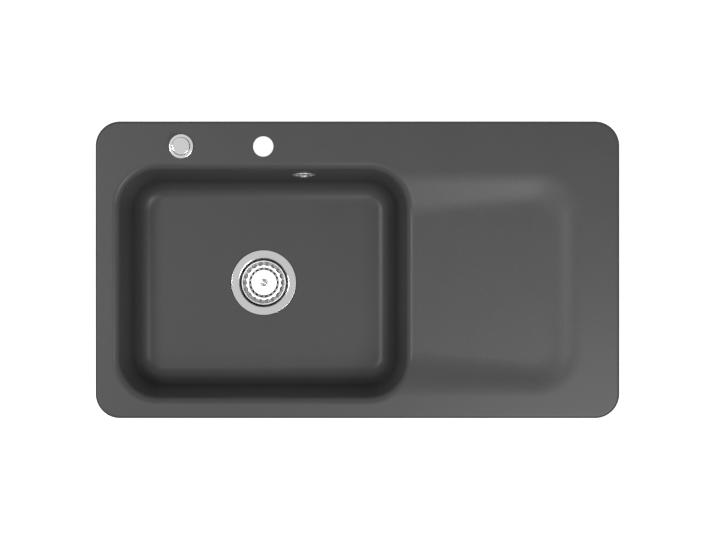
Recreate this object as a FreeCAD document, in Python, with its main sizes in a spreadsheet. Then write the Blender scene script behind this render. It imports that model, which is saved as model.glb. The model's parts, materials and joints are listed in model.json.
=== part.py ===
"""Inset kitchen sink with one bowl, a recessed drainboard and a rotary pop-up strainer waste.

Millimetres, +Z up.  Origin: centre of the rim in plan, at the level of the worktop that the rim
rests on.  +X points to the drainboard and +Y to the tap deck at the rear.
"""
import FreeCAD
import Part
import math
import os
import types
import Sketcher
from FreeCAD import Vector

# ---------------------------------------------------------------- driving dimensions
SIZES = [
    # rim and deck
    ("rim_length", 900.0, "outer length of the rim"),
    ("rim_width", 510.0, "outer width of the rim"),
    ("rim_corner", 42.0, "outer corner radius of the rim"),
    ("rim_height", 10.0, "height of the rim above the worktop"),
    ("rim_edge_round", 4.0, "rounding along the rim's outer top edge"),
    ("rim_overlap", 15.0, "width of the rim that rests on the worktop"),
    ("deck_drop", 2.0, "how far the deck hangs into the cut-out"),
    # bowl
    ("bowl_length", 492.0, "length of the bowl mouth before rounding"),
    ("bowl_side", 41.7, "rim's left edge to the bowl mouth"),
    ("front_ledge", 36.5, "rim's front edge to the bowl mouth"),
    ("tap_ledge", 83.5, "bowl mouth to the rim's rear edge"),
    ("bowl_corner", 66.0, "corner radius of the bowl mouth"),
    ("bowl_depth", 190.0, "depth from the rim to the bowl floor"),
    ("bowl_draft", 6.0, "lean of the bowl walls in degrees"),
    ("bowl_floor_round", 32.0, "rounding between bowl wall and floor"),
    ("bowl_rim_round", 15.0, "rounding between deck and bowl wall"),
    ("bowl_wall", 9.0, "thickness of the bowl wall"),
    ("bowl_floor", 10.0, "thickness of the bowl floor"),
    # drainboard
    ("drainer_rear_margin", 100.0, "rim's rear edge to the drainboard recess"),
    ("drainer_front_margin", 52.0, "rim's front edge to the drainboard recess"),
    ("drainer_side_margin", 78.0, "rim's right edge to the drainboard recess"),
    ("drainer_corner", 70.0, "corner radius of the recess"),
    ("drainer_slope", 12.0, "steepness of the recess sides in degrees"),
    ("drainer_depth", 11.0, "depth of the recess beside the bowl"),
    ("drainer_far_depth", 5.0, "depth of the recess at its right edge"),
    ("drainer_round", 150.0, "radius that blends the recess into the deck"),
    ("drainer_wall", 9.0, "thickness under the drainboard floor"),
    ("drainer_shell_draft", 30.0, "lean of the shell under the drainboard in degrees"),
    ("drainer_overlap", 105.0, "how far the recess runs on into the bowl"),
    ("recess_allowance", 0.5, "how far the recess's tool passes the faces it cuts"),
    # holes in the deck
    ("tap_offset", 0.3, "tap hole right of the bowl's middle"),
    ("tap_setback", 43.0, "rim's rear edge to the tap hole"),
    ("tap_hole", 35.0, "diameter of the tap hole"),
    ("control_offset", 140.7, "pop-up control left of the bowl's middle"),
    ("control_setback", 43.0, "rim's rear edge to the pop-up control"),
    ("control_hole", 35.0, "diameter of the control's hole"),
    # clearances
    ("clearance", 0.3, "gap between pieces that move past each other"),
    ("running_gap", 0.06, "radial gap of a turning or sliding fit"),
    ("seal_inset", 1.0, "how far a flat seal stays inside what it seals"),
    ("through", 1.0, "how far a cut runs on past the face it opens"),
    # pop-up control
    ("ring_diameter", 42.0, "outer diameter of the fixed control ring"),
    ("ring_height", 5.0, "height of the control ring"),
    ("ring_floor", 1.5, "thickness of the plate inside the ring"),
    ("ring_edge_round", 1.5, "rounding of the ring's top outer edge"),
    ("knob_diameter", 30.0, "diameter of the turning knob"),
    ("knob_gap", 0.6, "gap between knob and ring"),
    ("knob_height", 17.0, "height of the knob"),
    ("knob_edge_round", 1.2, "rounding of the knob's top edge"),
    ("knob_wall", 2.0, "thickness of the knob's skirt"),
    ("flute_count", 20, "grip flutes round the knob"),
    ("flute_radius", 0.9, "radius of one grip flute"),
    ("flute_length", 13.6, "length of the grip flutes"),
    ("knob_roof_plate", 3.0, "thickness of the knob's top"),
    ("knob_hub_wall", 3.0, "wall of the hub inside the knob"),
    ("spindle_diameter", 8.0, "diameter of the control spindle"),
    ("guide_length", 14.0, "length of the spindle's guide below the ring"),
    ("guide_wall", 4.0, "wall of the spindle's guide"),
    ("clip_width", 2.5, "width of the clip round the spindle"),
    ("clip_thickness", 1.0, "thickness of that clip"),
    ("stem_diameter", 33.0, "threaded stem through the deck"),
    ("stem_wall", 3.0, "wall of the stem"),
    ("stem_length", 34.0, "length of the stem below the deck seal"),
    ("deck_seal", 1.0, "thickness of the seal on the deck"),
    ("under_seal", 2.0, "thickness of the seal under the deck"),
    ("seal_width", 7.0, "width of the under-deck seal"),
    ("backnut_flats", 46.0, "width across the flats of the back nut"),
    ("backnut_height", 8.0, "height of the back nut"),
    ("housing_wall", 3.0, "wall of the drive housing"),
    ("housing_headroom", 9.0, "room above the raised cable carriage"),
    ("housing_grip", 10.0, "length of stem that the housing holds"),
    ("cap_thickness", 4.0, "thickness of the housing cap"),
    ("cap_spigot", 2.0, "height of the cap's spigot in the housing"),
    ("cable_offset", 9.756, "pull cable beside the control's axis"),
    ("carriage_height", 9.0, "height of the cable carriage"),
    ("carriage_travel", 12.0, "travel of the cable carriage"),
    ("key_width", 4.0, "width of the carriage's guide key"),
    ("key_depth", 1.6, "depth of the carriage's guide key"),
    ("gland_diameter", 9.0, "thread of a cable gland"),
    ("gland_bore", 4.0, "bore of a cable gland"),
    ("gland_flats", 12.0, "width across the flats of a cable gland"),
    ("gland_head", 4.0, "thickness of a gland's hexagon"),
    ("gland_nose", 12.0, "length of a gland beyond its hexagon"),
    ("gland_nose_step", 1.0, "how much less the nose's radius is than the thread's"),
    # waste: flange and cup
    ("waste_offset_left", 2.7, "waste axis left of the bowl's middle"),
    ("waste_offset_rear", 1.0, "waste axis behind the bowl's middle"),
    ("waste_hole_diameter", 90.0, "diameter of the hole in the bowl floor"),
    ("recess_gap", 1.2, "gap round the flange in its recess"),
    ("flange_diameter", 114.0, "diameter of the waste flange"),
    ("flange_inset", 0.4, "depth of the flange below the bowl floor"),
    ("flange_sheet", 1.2, "thickness of the pressed steel cup"),
    ("flange_edge_round", 0.48, "rounding of the flange's top outer edge"),
    ("cup_floor_round", 4.8, "rounding between the cup's wall and floor"),
    ("upper_seal", 1.4, "thickness of the seal under the flange"),
    ("cup_bore", 84.0, "inner diameter of the cup"),
    ("cup_mouth_round", 2.6, "rounding of the cup's mouth"),
    ("cup_depth", 31.6, "depth of the cup below the flange"),
    ("cup_opening", 54.0, "opening in the cup's floor"),
    ("cup_hub", 18.0, "hub in the middle of the opening"),
    ("cup_spoke", 6.0, "width of the hub's spokes"),
    # strainer basket
    ("basket_diameter", 77.2, "diameter of the basket's rim"),
    ("basket_lip", 1.3, "width of the basket's rim"),
    ("basket_sheet", 0.9, "thickness of the basket"),
    ("basket_step_outer", 31.6, "outer radius of the basket's step"),
    ("basket_step_inner", 26.8, "inner radius of the basket's step"),
    ("basket_floor_radius", 22.2, "radius of the basket's floor"),
    ("basket_upper_height", 14.0, "height from the step to the rim"),
    ("basket_lower_height", 10.0, "height from the floor to the step"),
    ("basket_lift", 2.6, "height of the basket above the cup's floor"),
    ("hole_count", 18, "holes in each row of the basket"),
    ("upper_hole_radius", 33.1, "radius on which the upper holes lie"),
    ("upper_hole_width", 6.6, "upper hole, measured outwards"),
    ("upper_hole_length", 8.4, "upper hole, measured round the basket"),
    ("lower_hole_radius", 24.0, "radius on which the lower holes lie"),
    ("lower_hole_width", 3.2, "lower hole, measured outwards"),
    ("lower_hole_length", 5.6, "lower hole, measured round the basket"),
    ("boss_radius", 16.8, "raised middle of the basket's floor"),
    ("boss_height", 0.5, "height of the raised middle"),
    ("stud_diameter", 14.0, "diameter of the basket's centre stud"),
    ("stud_height", 4.6, "height of the stud above the floor"),
    ("stud_shank", 9.0, "diameter of the stud's shank in the floor"),
    ("stud_rim", 1.5, "width of the stud's rim"),
    ("stud_dish", 0.8, "depth of the dish in the stud"),
    ("stud_dot", 3.0, "radius of the dot in the dish"),
    ("stud_slope_width", 1.0, "width of the slope from the dish up to the dot"),
    ("socket_depth", 3.9, "depth of the socket for the lift pin"),
    ("plug_inner", 20.0, "inner diameter of the plug seal"),
    ("plug_outer", 62.0, "outer diameter of the plug seal"),
    ("plug_thickness", 1.5, "thickness of the plug seal"),
    ("plug_lip", 0.9, "thickness of the plug seal's lip"),
    ("plug_lip_width", 2.0, "width of the plug seal's flat lip"),
    ("plug_flat_inset", 2.0, "how far the seal's flat ends inside the basket's floor"),
    # waste body
    ("lower_seal", 2.5, "thickness of the seal under the bowl floor"),
    ("body_flange", 4.0, "thickness of the waste body's flange"),
    ("barrel_bore", 88.4, "inner diameter of the waste body"),
    ("barrel_wall", 3.2, "wall of the waste body"),
    ("barrel_height", 43.5, "height of the waste body's barrel"),
    ("funnel_height", 28.0, "height of the funnel below the barrel"),
    ("outlet_diameter", 47.8, "outlet thread, inch and a half"),
    ("outlet_bore", 40.4, "bore of the outlet"),
    ("outlet_length", 20.0, "length of the outlet"),
    ("screw_hub", 20.0, "diameter of the hub for the fixing screw"),
    ("screw_hub_height", 10.0, "height of the hub"),
    ("screw_hub_drop", 12.0, "hub below the cup's floor"),
    ("screw_spoke", 5.0, "width of the hub's spokes"),
    ("screw_spoke_drop", 2.0, "spokes below the hub's top"),
    ("screw_spoke_height", 6.0, "height of the hub's spokes"),
    ("spoke_turn", 60.0, "first spoke, degrees from the branch"),
    ("screw_diameter", 10.0, "diameter of the hollow fixing screw"),
    ("screw_head", 15.0, "diameter of the fixing screw's head"),
    ("screw_head_height", 2.2, "height of the fixing screw's head"),
    ("screw_tail", 0.5, "fixing screw below the hub"),
    # lift pin and lever
    ("pin_diameter", 6.0, "diameter of the lift pin"),
    ("axle_drop", 32.5, "lever axle below the cup's floor"),
    ("axle_diameter", 6.0, "diameter of the lever axle"),
    ("axle_tail", 8.0, "axle beyond the lever"),
    ("lever_reach", 16.0, "axle to lever tip"),
    ("lever_swing", 35.0, "full swing of the lever in degrees"),
    ("lever_tip", 2.5, "radius of the lever's tip"),
    ("lever_hub", 5.2, "radius of the lever's hub"),
    ("lever_half_height", 1.5, "half the height of the lever's arm"),
    ("lever_width", 7.0, "width of the lever"),
    ("axle_boss", 7.5, "radius of the axle's boss"),
    ("axle_boss_inner", 24.0, "inner end of the axle's boss"),
    ("axle_boss_outer", 47.0, "outer end of the axle's boss"),
    ("axle_seal", 2.0, "thickness of the axle seal"),
    ("axle_seal_radius", 5.0, "outer radius of the axle seal"),
    ("crank_reach", 18.0, "axle to the cable hole of the crank"),
    ("crank_plate", 3.5, "thickness of the crank"),
    ("crank_hub", 6.5, "radius of the crank's hub"),
    ("crank_tip", 4.2, "radius of the crank's tip"),
    ("crank_root_half", 5.85, "half the crank arm's width at its hub"),
    ("crank_end_half", 4.03, "half the crank arm's width at its tip"),
    ("axle_end", 1.0, "axle beyond the crank's nut"),
    ("cable_hole", 3.0, "diameter of the cable hole in the crank"),
    ("crank_nut_flats", 10.0, "width across the flats of the crank nut"),
    ("crank_nut_height", 3.2, "height of the crank nut"),
    ("bracket_reach", 34.0, "waste axis to the cable bracket"),
    ("bracket_plate", 4.0, "thickness of the cable bracket"),
    ("bracket_width", 16.0, "width of the cable bracket"),
    # overflow
    ("overflow_offset", 69.6, "overflow right of the bowl's middle"),
    ("overflow_drop", 60.0, "overflow below the rim"),
    ("overflow_hole", 28.0, "diameter of the overflow hole"),
    ("rosette_diameter", 40.0, "diameter of the overflow rosette"),
    ("rosette_height", 3.6, "height of the rosette's dome"),
    ("rosette_sheet", 1.2, "thickness of the rosette"),
    ("rosette_foot", 2.4, "width of the rosette's foot on the wall"),
    ("rosette_slots", 10, "inlet slots in the rosette"),
    ("rosette_slot_width", 2.6, "width of one slot"),
    ("rosette_slot_length", 5.0, "length of one slot"),
    ("rosette_slot_radius", 13.4, "radius on which the slots lie"),
    ("cap_screw_head", 16.0, "diameter of the rosette screw's head"),
    ("cap_screw_dome", 2.6, "height of the rosette screw's head"),
    ("cap_screw_round", 2.4, "rounding of the rosette screw's head"),
    ("rosette_flat", 1.0, "flat of the rosette beyond its screw's head"),
    ("cap_screw_shank", 5.0, "diameter of the rosette screw's shank"),
    ("wall_seal", 3.0, "thickness of the seal behind the wall"),
    ("head_flange", 43.0, "diameter of the overflow head's flange"),
    ("head_flange_plate", 3.0, "thickness of that flange"),
    ("head_diameter", 37.0, "diameter of the overflow head"),
    ("head_depth", 28.0, "depth of the overflow head"),
    ("head_wall", 2.5, "wall of the overflow head"),
    ("head_boss", 10.0, "diameter of the screw boss in the head"),
    ("head_boss_reach", 9.3, "screw boss beyond the screw's end"),
    ("riser_setback", 27.0, "riser behind the bowl wall's inner face"),
    ("pipe_diameter", 21.0, "outer diameter of the overflow pipes"),
    ("pipe_wall", 1.5, "wall of the overflow pipes"),
    ("socket_gap", 0.1, "radial gap of a pipe in its socket"),
    ("socket_wall", 2.7, "wall of a pipe socket"),
    ("pipe_socket", 12.0, "depth of a pipe socket"),
    ("spigot_length", 22.0, "overflow head's spigot below its axis line"),
    ("branch_drop", 16.0, "overflow branch below the cup's floor"),
    ("branch_length", 26.0, "overflow branch beyond the barrel"),
    ("elbow_bend", 22.0, "bend radius of the lower elbow"),
    ("elbow_leg", 18.0, "straight leg of the lower elbow"),
    ("nut_wall", 3.2, "wall of a slip nut"),
    ("nut_grip", 10.0, "length of thread that a slip nut holds"),
    ("slip_seal", 2.5, "thickness of a slip seal"),
    ("nut_lip", 2.5, "thickness of a slip nut's lip"),
    ("nut_lugs", 8, "grip lugs round a slip nut"),
    ("nut_lug_height", 1.6, "height of one grip lug"),
    ("nut_lug_width", 4.0, "width of one grip lug"),
]


# ---------------------------------------------------------------- sizes as expressions
class Size:
    """A length or angle that knows its number and the sheet expression it comes from."""

    def __init__(self, text, value):
        self.text = text
        self.value = value

    def __add__(self, other):
        return joined(self, "+", other, lambda a, b: a + b)

    def __radd__(self, other):
        return joined(other, "+", self, lambda a, b: a + b)

    def __sub__(self, other):
        return joined(self, "-", other, lambda a, b: a - b)

    def __rsub__(self, other):
        return joined(other, "-", self, lambda a, b: a - b)

    def __mul__(self, other):
        return joined(self, "*", other, lambda a, b: a * b)

    def __rmul__(self, other):
        return joined(other, "*", self, lambda a, b: a * b)

    def __truediv__(self, other):
        return joined(self, "/", other, lambda a, b: a / b)

    def __neg__(self):
        return joined(0, "-", self, lambda a, b: a - b)


def size(number):
    """A plain number as a Size, or a Size as it is."""
    if isinstance(number, Size):
        return number
    return Size(f"({number})", float(number))


def joined(left, sign, right, rule):
    left = size(left)
    right = size(right)
    return Size(f"({left.text} {sign} {right.text})", rule(left.value, right.value))


def sine(angle):
    return Size(f"sin({angle.text})", math.sin(math.radians(angle.value)))


def cosine(angle):
    return Size(f"cos({angle.text})", math.cos(math.radians(angle.value)))


def tangent(angle):
    return Size(f"tan({angle.text})", math.tan(math.radians(angle.value)))


def heading(across, along):
    """Direction of a step in plan, in degrees from +X."""
    degrees = math.degrees(math.atan2(along.value, across.value))
    return Size(f"(atan2({along.text}; {across.text}) / 1 deg)", degrees)


doc = FreeCAD.newDocument("inset_sink")
sheet = doc.addObject("Spreadsheet::Sheet", "sizes")
for row, (alias, number, meaning) in enumerate(SIZES, start=1):
    sheet.set(f"A{row}", meaning)
    sheet.set(f"B{row}", str(number))
    sheet.setAlias(f"B{row}", alias)
doc.recompute()
s = types.SimpleNamespace(**{alias: Size(f"sizes.{alias}", number) for alias, number, _ in SIZES})


# ---------------------------------------------------------------- sketch and feature helpers
def bind(thing, target, amount):
    thing.setExpression(target, size(amount).text)


def new_body(label, x=0, y=0, z=0, axis=Vector(0, 0, 1), turn=None):
    """A body at a place of its own, turned about one axis."""
    body = doc.addObject("PartDesign::Body", label)
    spot = Vector(size(x).value, size(y).value, size(z).value)
    angle = 0.0 if turn is None else turn.value
    body.Placement = FreeCAD.Placement(spot, FreeCAD.Rotation(axis, angle))
    bind(body, "Placement.Base.x", x)
    bind(body, "Placement.Base.y", y)
    bind(body, "Placement.Base.z", z)
    if turn is not None:
        bind(body, "Placement.Rotation.Angle", turn)
    return body


def new_sketch(body, plane, name, shift=None):
    """A sketch on one of the body's origin planes, moved along the plane's normal by shift."""
    sketch = body.newObject("Sketcher::SketchObject", name)
    support = [part for part in body.Origin.OriginFeatures if part.Role == plane][0]
    sketch.AttachmentSupport = [(support, "")]
    sketch.MapMode = "FlatFace"
    if shift is not None:
        bind(sketch, "AttachmentOffset.Base.z", shift)
    return sketch


def fix_point(sketch, item, end, across, up):
    """Hold one point of a sketch at sizes measured from the sketch's origin."""
    for kind, amount, other_axis in (("DistanceX", across, -2), ("DistanceY", up, -1)):
        amount = size(amount)
        if amount.text == "(0)":
            sketch.addConstraint(Sketcher.Constraint("PointOnObject", item, end, other_axis))
            continue
        number = sketch.addConstraint(Sketcher.Constraint(kind, item, end, amount.value))
        sketch.setExpression(f"Constraints[{number}]", amount.text)


def hold_radius(sketch, item, radius):
    number = sketch.addConstraint(Sketcher.Constraint("Radius", item, size(radius).value))
    sketch.setExpression(f"Constraints[{number}]", size(radius).text)


def outline(sketch, points):
    """A closed outline of straight sides through (across, up) points."""
    spots = [Vector(size(across).value, size(up).value, 0) for across, up in points]
    first = sketch.GeometryCount
    total = len(points)
    for number in range(total):
        sketch.addGeometry(Part.LineSegment(spots[number], spots[(number + 1) % total]))
    for number in range(total):
        following = first + (number + 1) % total
        sketch.addConstraint(Sketcher.Constraint("Coincident", first + number, 2, following, 1))
    for number, (across, up) in enumerate(points):
        fix_point(sketch, first + number, 1, across, up)


def circle(sketch, radius, across=0, up=0):
    middle = Vector(size(across).value, size(up).value, 0)
    item = sketch.addGeometry(Part.Circle(middle, Vector(0, 0, 1), size(radius).value))
    hold_radius(sketch, item, radius)
    fix_point(sketch, item, 3, across, up)


def rounded_rectangle(sketch, left, right, low, high, corner):
    """A rectangle with four equal round corners, its sides at sizes from the origin."""
    x0, x1, y0, y1, r = [size(amount).value for amount in (left, right, low, high, corner)]
    middles = [(x1 - r, y0 + r, -90), (x1 - r, y1 - r, 0), (x0 + r, y1 - r, 90), (x0 + r, y0 + r, 180)]
    starts = [(x0 + r, y0), (x1, y0 + r), (x1 - r, y1), (x0, y1 - r)]
    ends = [(x1 - r, y0), (x1, y1 - r), (x0 + r, y1), (x0, y0 + r)]
    for start, end, (cx, cy, angle) in zip(starts, ends, middles):
        sketch.addGeometry(Part.LineSegment(Vector(*start, 0), Vector(*end, 0)))
        whole = Part.Circle(Vector(cx, cy, 0), Vector(0, 0, 1), r)
        sketch.addGeometry(Part.ArcOfCircle(whole, math.radians(angle), math.radians(angle + 90)))
    for number in range(4):
        side = 2 * number
        following = (side + 2) % 8
        sketch.addConstraint(Sketcher.Constraint("Tangent", side, 2, side + 1, 1))
        sketch.addConstraint(Sketcher.Constraint("Tangent", side + 1, 2, following, 1))
        sketch.addConstraint(Sketcher.Constraint("Vertical" if number % 2 else "Horizontal", side))
        hold_radius(sketch, side + 1, corner)
    for side, kind, amount in ((0, "DistanceY", low), (2, "DistanceX", right),
                               (4, "DistanceY", high), (6, "DistanceX", left)):
        number = sketch.addConstraint(Sketcher.Constraint(kind, side, 1, size(amount).value))
        sketch.setExpression(f"Constraints[{number}]", size(amount).text)


def slot(sketch, across, width, length):
    """A round-ended slot, its middle on the sketch's X axis and its length along Y."""
    r = size(width).value / 2
    reach = (size(length) - width) / 2
    x = size(across).value
    y = reach.value
    for start, end, middle, angle in ((Vector(x + r, -y), Vector(x + r, y), y, 0),
                                      (Vector(x - r, y), Vector(x - r, -y), -y, 180)):
        sketch.addGeometry(Part.LineSegment(start, end))
        whole = Part.Circle(Vector(x, middle, 0), Vector(0, 0, 1), r)
        sketch.addGeometry(Part.ArcOfCircle(whole, math.radians(angle), math.radians(angle + 180)))
    for item in range(4):
        sketch.addConstraint(Sketcher.Constraint("Tangent", item, 2, (item + 1) % 4, 1))
    sketch.addConstraint(Sketcher.Constraint("Equal", 1, 3))
    hold_radius(sketch, 1, size(width) / 2)
    fix_point(sketch, 1, 3, across, reach)
    fix_point(sketch, 3, 3, across, -reach)


def hexagon(sketch, flats):
    """A regular hexagon about the sketch's origin."""
    point_radius = size(flats) / math.sqrt(3)
    turns = [math.radians(60 * number) for number in range(6)]
    outline(sketch, [(point_radius * round(math.cos(a), 12), point_radius * round(math.sin(a), 12))
                     for a in turns])


def pad(body, sketch, length, reversed_way=False, draft=None, midplane=False):
    feature = body.newObject("PartDesign::Pad", sketch.Name + "_pad")
    feature.Profile = sketch
    bind(feature, "Length", length)
    feature.Reversed = reversed_way
    feature.Midplane = midplane
    if draft is not None:
        bind(feature, "TaperAngle", draft)
    return feature


def pocket(body, sketch, length, reversed_way=False, draft=None, midplane=False):
    """A cut from a sketch.  It goes against the sketch's normal unless reversed."""
    doc.recompute()
    before = body.Tip.Shape.Volume
    feature = body.newObject("PartDesign::Pocket", sketch.Name + "_cut")
    feature.Profile = sketch
    bind(feature, "Length", length)
    feature.Reversed = reversed_way
    feature.Midplane = midplane
    if draft is not None:
        bind(feature, "TaperAngle", draft)
    doc.recompute()
    if not feature.Shape.Volume < before - 1e-3:
        raise RuntimeError(sketch.Name + " cuts nothing")
    return feature


def repeat(body, feature, count, name):
    """The feature repeated evenly round the body's Z axis."""
    pattern = body.newObject("PartDesign::PolarPattern", name)
    pattern.Originals = [feature]
    axis = [part for part in body.Origin.OriginFeatures if part.Role == "Z_Axis"][0]
    pattern.Axis = (axis, [""])
    pattern.Angle = 360
    bind(pattern, "Occurrences", count)
    body.Tip = pattern
    return pattern


def round_edges(body, name, radius, wanted):
    """Round the edges of the body's last feature that the test picks."""
    doc.recompute()
    base = body.Tip
    picked = [f"Edge{number}" for number, edge in enumerate(base.Shape.Edges, start=1) if wanted(edge)]
    if not picked:
        raise RuntimeError(name + " finds no edge")
    feature = body.newObject("PartDesign::Fillet", name)
    feature.Base = (base, picked)
    bind(feature, "Radius", radius)
    body.Tip = feature
    doc.recompute()
    if not feature.isValid():
        raise RuntimeError(f"{name} fails on {len(picked)} edges: {feature.getStatusString()}")
    return feature


def is_ring(edge, radius, level, axis=2):
    """True for a circular edge of this radius, square to the axis, at this level along it."""
    if edge.Curve.TypeId != "Part::GeomCircle":
        return False
    near = abs(edge.Curve.Radius - size(radius).value) < 1e-4
    return near and abs(edge.Curve.Center[axis] - size(level).value) < 1e-4


def turned(label, profile, along="Z", seam_in_front=False, **place):
    """A turned piece.  The profile holds (radius, level) points, level along the turning axis.

    The seam of a piece turned about Z lies at +X, or at -Y when it is wanted in front.
    """
    body = new_body(label, **place)
    plane = "YZ_Plane" if along == "Y" or seam_in_front else "XZ_Plane"
    sketch = new_sketch(body, plane, label + "_profile")
    if seam_in_front:
        profile = [(-size(radius), level) for radius, level in profile]
    outline(sketch, profile if along == "Z" else [(level, radius) for radius, level in profile])
    feature = body.newObject("PartDesign::Revolution", label + "_turning")
    feature.Profile = sketch
    feature.ReferenceAxis = (sketch, ["V_Axis" if along == "Z" else "H_Axis"])
    feature.Angle = 360
    return body


def ring(label, inner, outer, low, high, along="Z", **place):
    """A plain washer or tube between two radii and two levels."""
    corners = [(inner, low), (outer, low), (outer, high), (inner, high)]
    return turned(label, corners, along, **place)


# ---------------------------------------------------------------- levels and places
rim_rear = s.rim_width / 2
bowl_left = s.bowl_side - s.rim_length / 2
bowl_right = bowl_left + s.bowl_length
bowl_front = s.front_ledge - rim_rear
bowl_rear = rim_rear - s.tap_ledge
bowl_x = (bowl_left + bowl_right) / 2
bowl_y = (bowl_front + bowl_rear) / 2
drainer_left = bowl_right - s.drainer_overlap
drainer_right = s.rim_length / 2 - s.drainer_side_margin
drainer_front = s.drainer_front_margin - rim_rear
drainer_rear = rim_rear - s.drainer_rear_margin
tap_x = bowl_x + s.tap_offset
tap_y = rim_rear - s.tap_setback
control_x = bowl_x - s.control_offset
control_y = rim_rear - s.control_setback
waste_x = bowl_x - s.waste_offset_left
waste_y = bowl_y + s.waste_offset_rear
overflow_x = bowl_x + s.overflow_offset
deck_foot = -s.deck_drop
floor_level = s.rim_height - s.bowl_depth
floor_foot = floor_level - s.bowl_floor
flange_top = floor_level - s.flange_inset
flange_foot = flange_top - s.flange_sheet
recess_level = flange_foot - s.upper_seal
cup_floor = flange_top - s.cup_depth
cup_floor_foot = cup_floor - s.flange_sheet
body_top = floor_foot - s.lower_seal
barrel_foot = body_top - s.barrel_height
funnel_foot = barrel_foot - s.funnel_height
outlet_foot = funnel_foot - s.outlet_length
screw_hub_top = cup_floor - s.screw_hub_drop
screw_hub_foot = screw_hub_top - s.screw_hub_height
axle_level = cup_floor - s.axle_drop
branch_level = cup_floor - s.branch_drop
basket_foot = cup_floor + s.basket_lift
basket_floor = basket_foot + s.basket_sheet
basket_step = basket_floor + s.basket_lower_height
basket_rim = basket_step + s.basket_upper_height
socket_top = basket_foot + s.socket_depth
lever_rise = s.lever_reach * sine(s.lever_swing / 2)
pin_foot = axle_level - lever_rise + s.lever_tip + s.clearance
pin_top = socket_top - s.clearance
barrel_radius = s.barrel_bore / 2 + s.barrel_wall
pipe_radius = s.pipe_diameter / 2
pipe_bore = pipe_radius - s.pipe_wall
socket_bore = pipe_radius + s.socket_gap
socket_radius = socket_bore + s.socket_wall
branch_end = barrel_radius + s.branch_length

overflow_y = bowl_rear - s.overflow_drop * tangent(s.bowl_draft)
overflow_z = s.rim_height - s.overflow_drop
riser_y = overflow_y + s.riser_setback * cosine(s.bowl_draft)
head_middle_z = overflow_z - s.riser_setback * sine(s.bowl_draft)
spigot_foot = head_middle_z - s.head_diameter / 2 - s.spigot_length
branch_turn = heading(overflow_x - waste_x, riser_y - waste_y)
elbow_top = branch_level + s.elbow_bend + s.elbow_leg
elbow_side = s.elbow_bend + s.elbow_leg

ON_WASTE = dict(x=waste_x, y=waste_y, turn=branch_turn)
ON_BASKET = dict(x=waste_x, y=waste_y)
ON_CONTROL = dict(x=control_x, y=control_y)
ON_RISER = dict(x=overflow_x, y=riser_y, turn=branch_turn)
IN_WALL = dict(x=overflow_x, y=overflow_y, z=overflow_z, axis=Vector(1, 0, 0), turn=90 - s.bowl_draft)


# ---------------------------------------------------------------- sink body
deck_thickness = s.rim_height + s.deck_drop


def drainer_floor_at(across):
    """Level of the drainboard floor, which falls towards the bowl."""
    fall = (s.drainer_depth - s.drainer_far_depth) / (drainer_right - bowl_right)
    return s.rim_height - s.drainer_depth + (across - bowl_right) * fall


def on_drainer_floor(spot):
    return abs(spot.z - drainer_floor_at(size(spot.x)).value) < 1e-3


def drainer_outline(body, name, level):
    """The recess at one level: it widens upwards at the slope of its sides."""
    spread = (level - s.rim_height) / tangent(s.drainer_slope)
    sketch = new_sketch(body, "XY_Plane", name, level)
    rounded_rectangle(sketch, drainer_left - spread, drainer_right + spread,
                      drainer_front - spread, drainer_rear + spread, s.drainer_corner + spread)
    return sketch


def make_drainer_tool():
    """The space of the drainboard recess: sloping sides over a floor that falls to the bowl."""
    tool = new_body("drainer_space")
    foot = drainer_outline(tool, "drainer_foot", drainer_floor_at(drainer_left) - s.recess_allowance)
    mouth = drainer_outline(tool, "drainer_mouth", s.rim_height + s.recess_allowance)
    loft = tool.newObject("PartDesign::AdditiveLoft", "drainer_sides")
    loft.Profile = foot
    loft.Sections = [mouth]
    loft.Ruled = True
    doc.recompute()
    under = new_sketch(tool, "XZ_Plane", "drainer_floor")
    left = bowl_x
    right = s.rim_length / 2
    low = floor_level
    outline(under, [(left, drainer_floor_at(left)), (left, low),
                    (right, low), (right, drainer_floor_at(right))])
    pocket(tool, under, 2 * s.rim_width, midplane=True)
    return tool


def on_bowl_wall(spot):
    """True for a point on the leaning wall round the bowl."""
    lean = (s.rim_height.value - spot.z) * math.tan(math.radians(s.bowl_draft.value))
    corner = s.bowl_corner.value - lean
    across = abs(spot.x - bowl_x.value) - (bowl_right.value - bowl_x.value - lean - corner)
    along = abs(spot.y - bowl_y.value) - (bowl_rear.value - bowl_y.value - lean - corner)
    if across > 0 and along > 0:
        return abs(math.hypot(across, along) - corner) < 0.02
    return abs(max(across, along) - corner) < 0.02


def along_edge(edge, test):
    """True where the test holds at five places along an edge."""
    first, last = edge.ParameterRange
    return all(test(edge.valueAt(first + (last - first) * share)) for share in (0.02, 0.25, 0.5, 0.75, 0.98))


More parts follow.
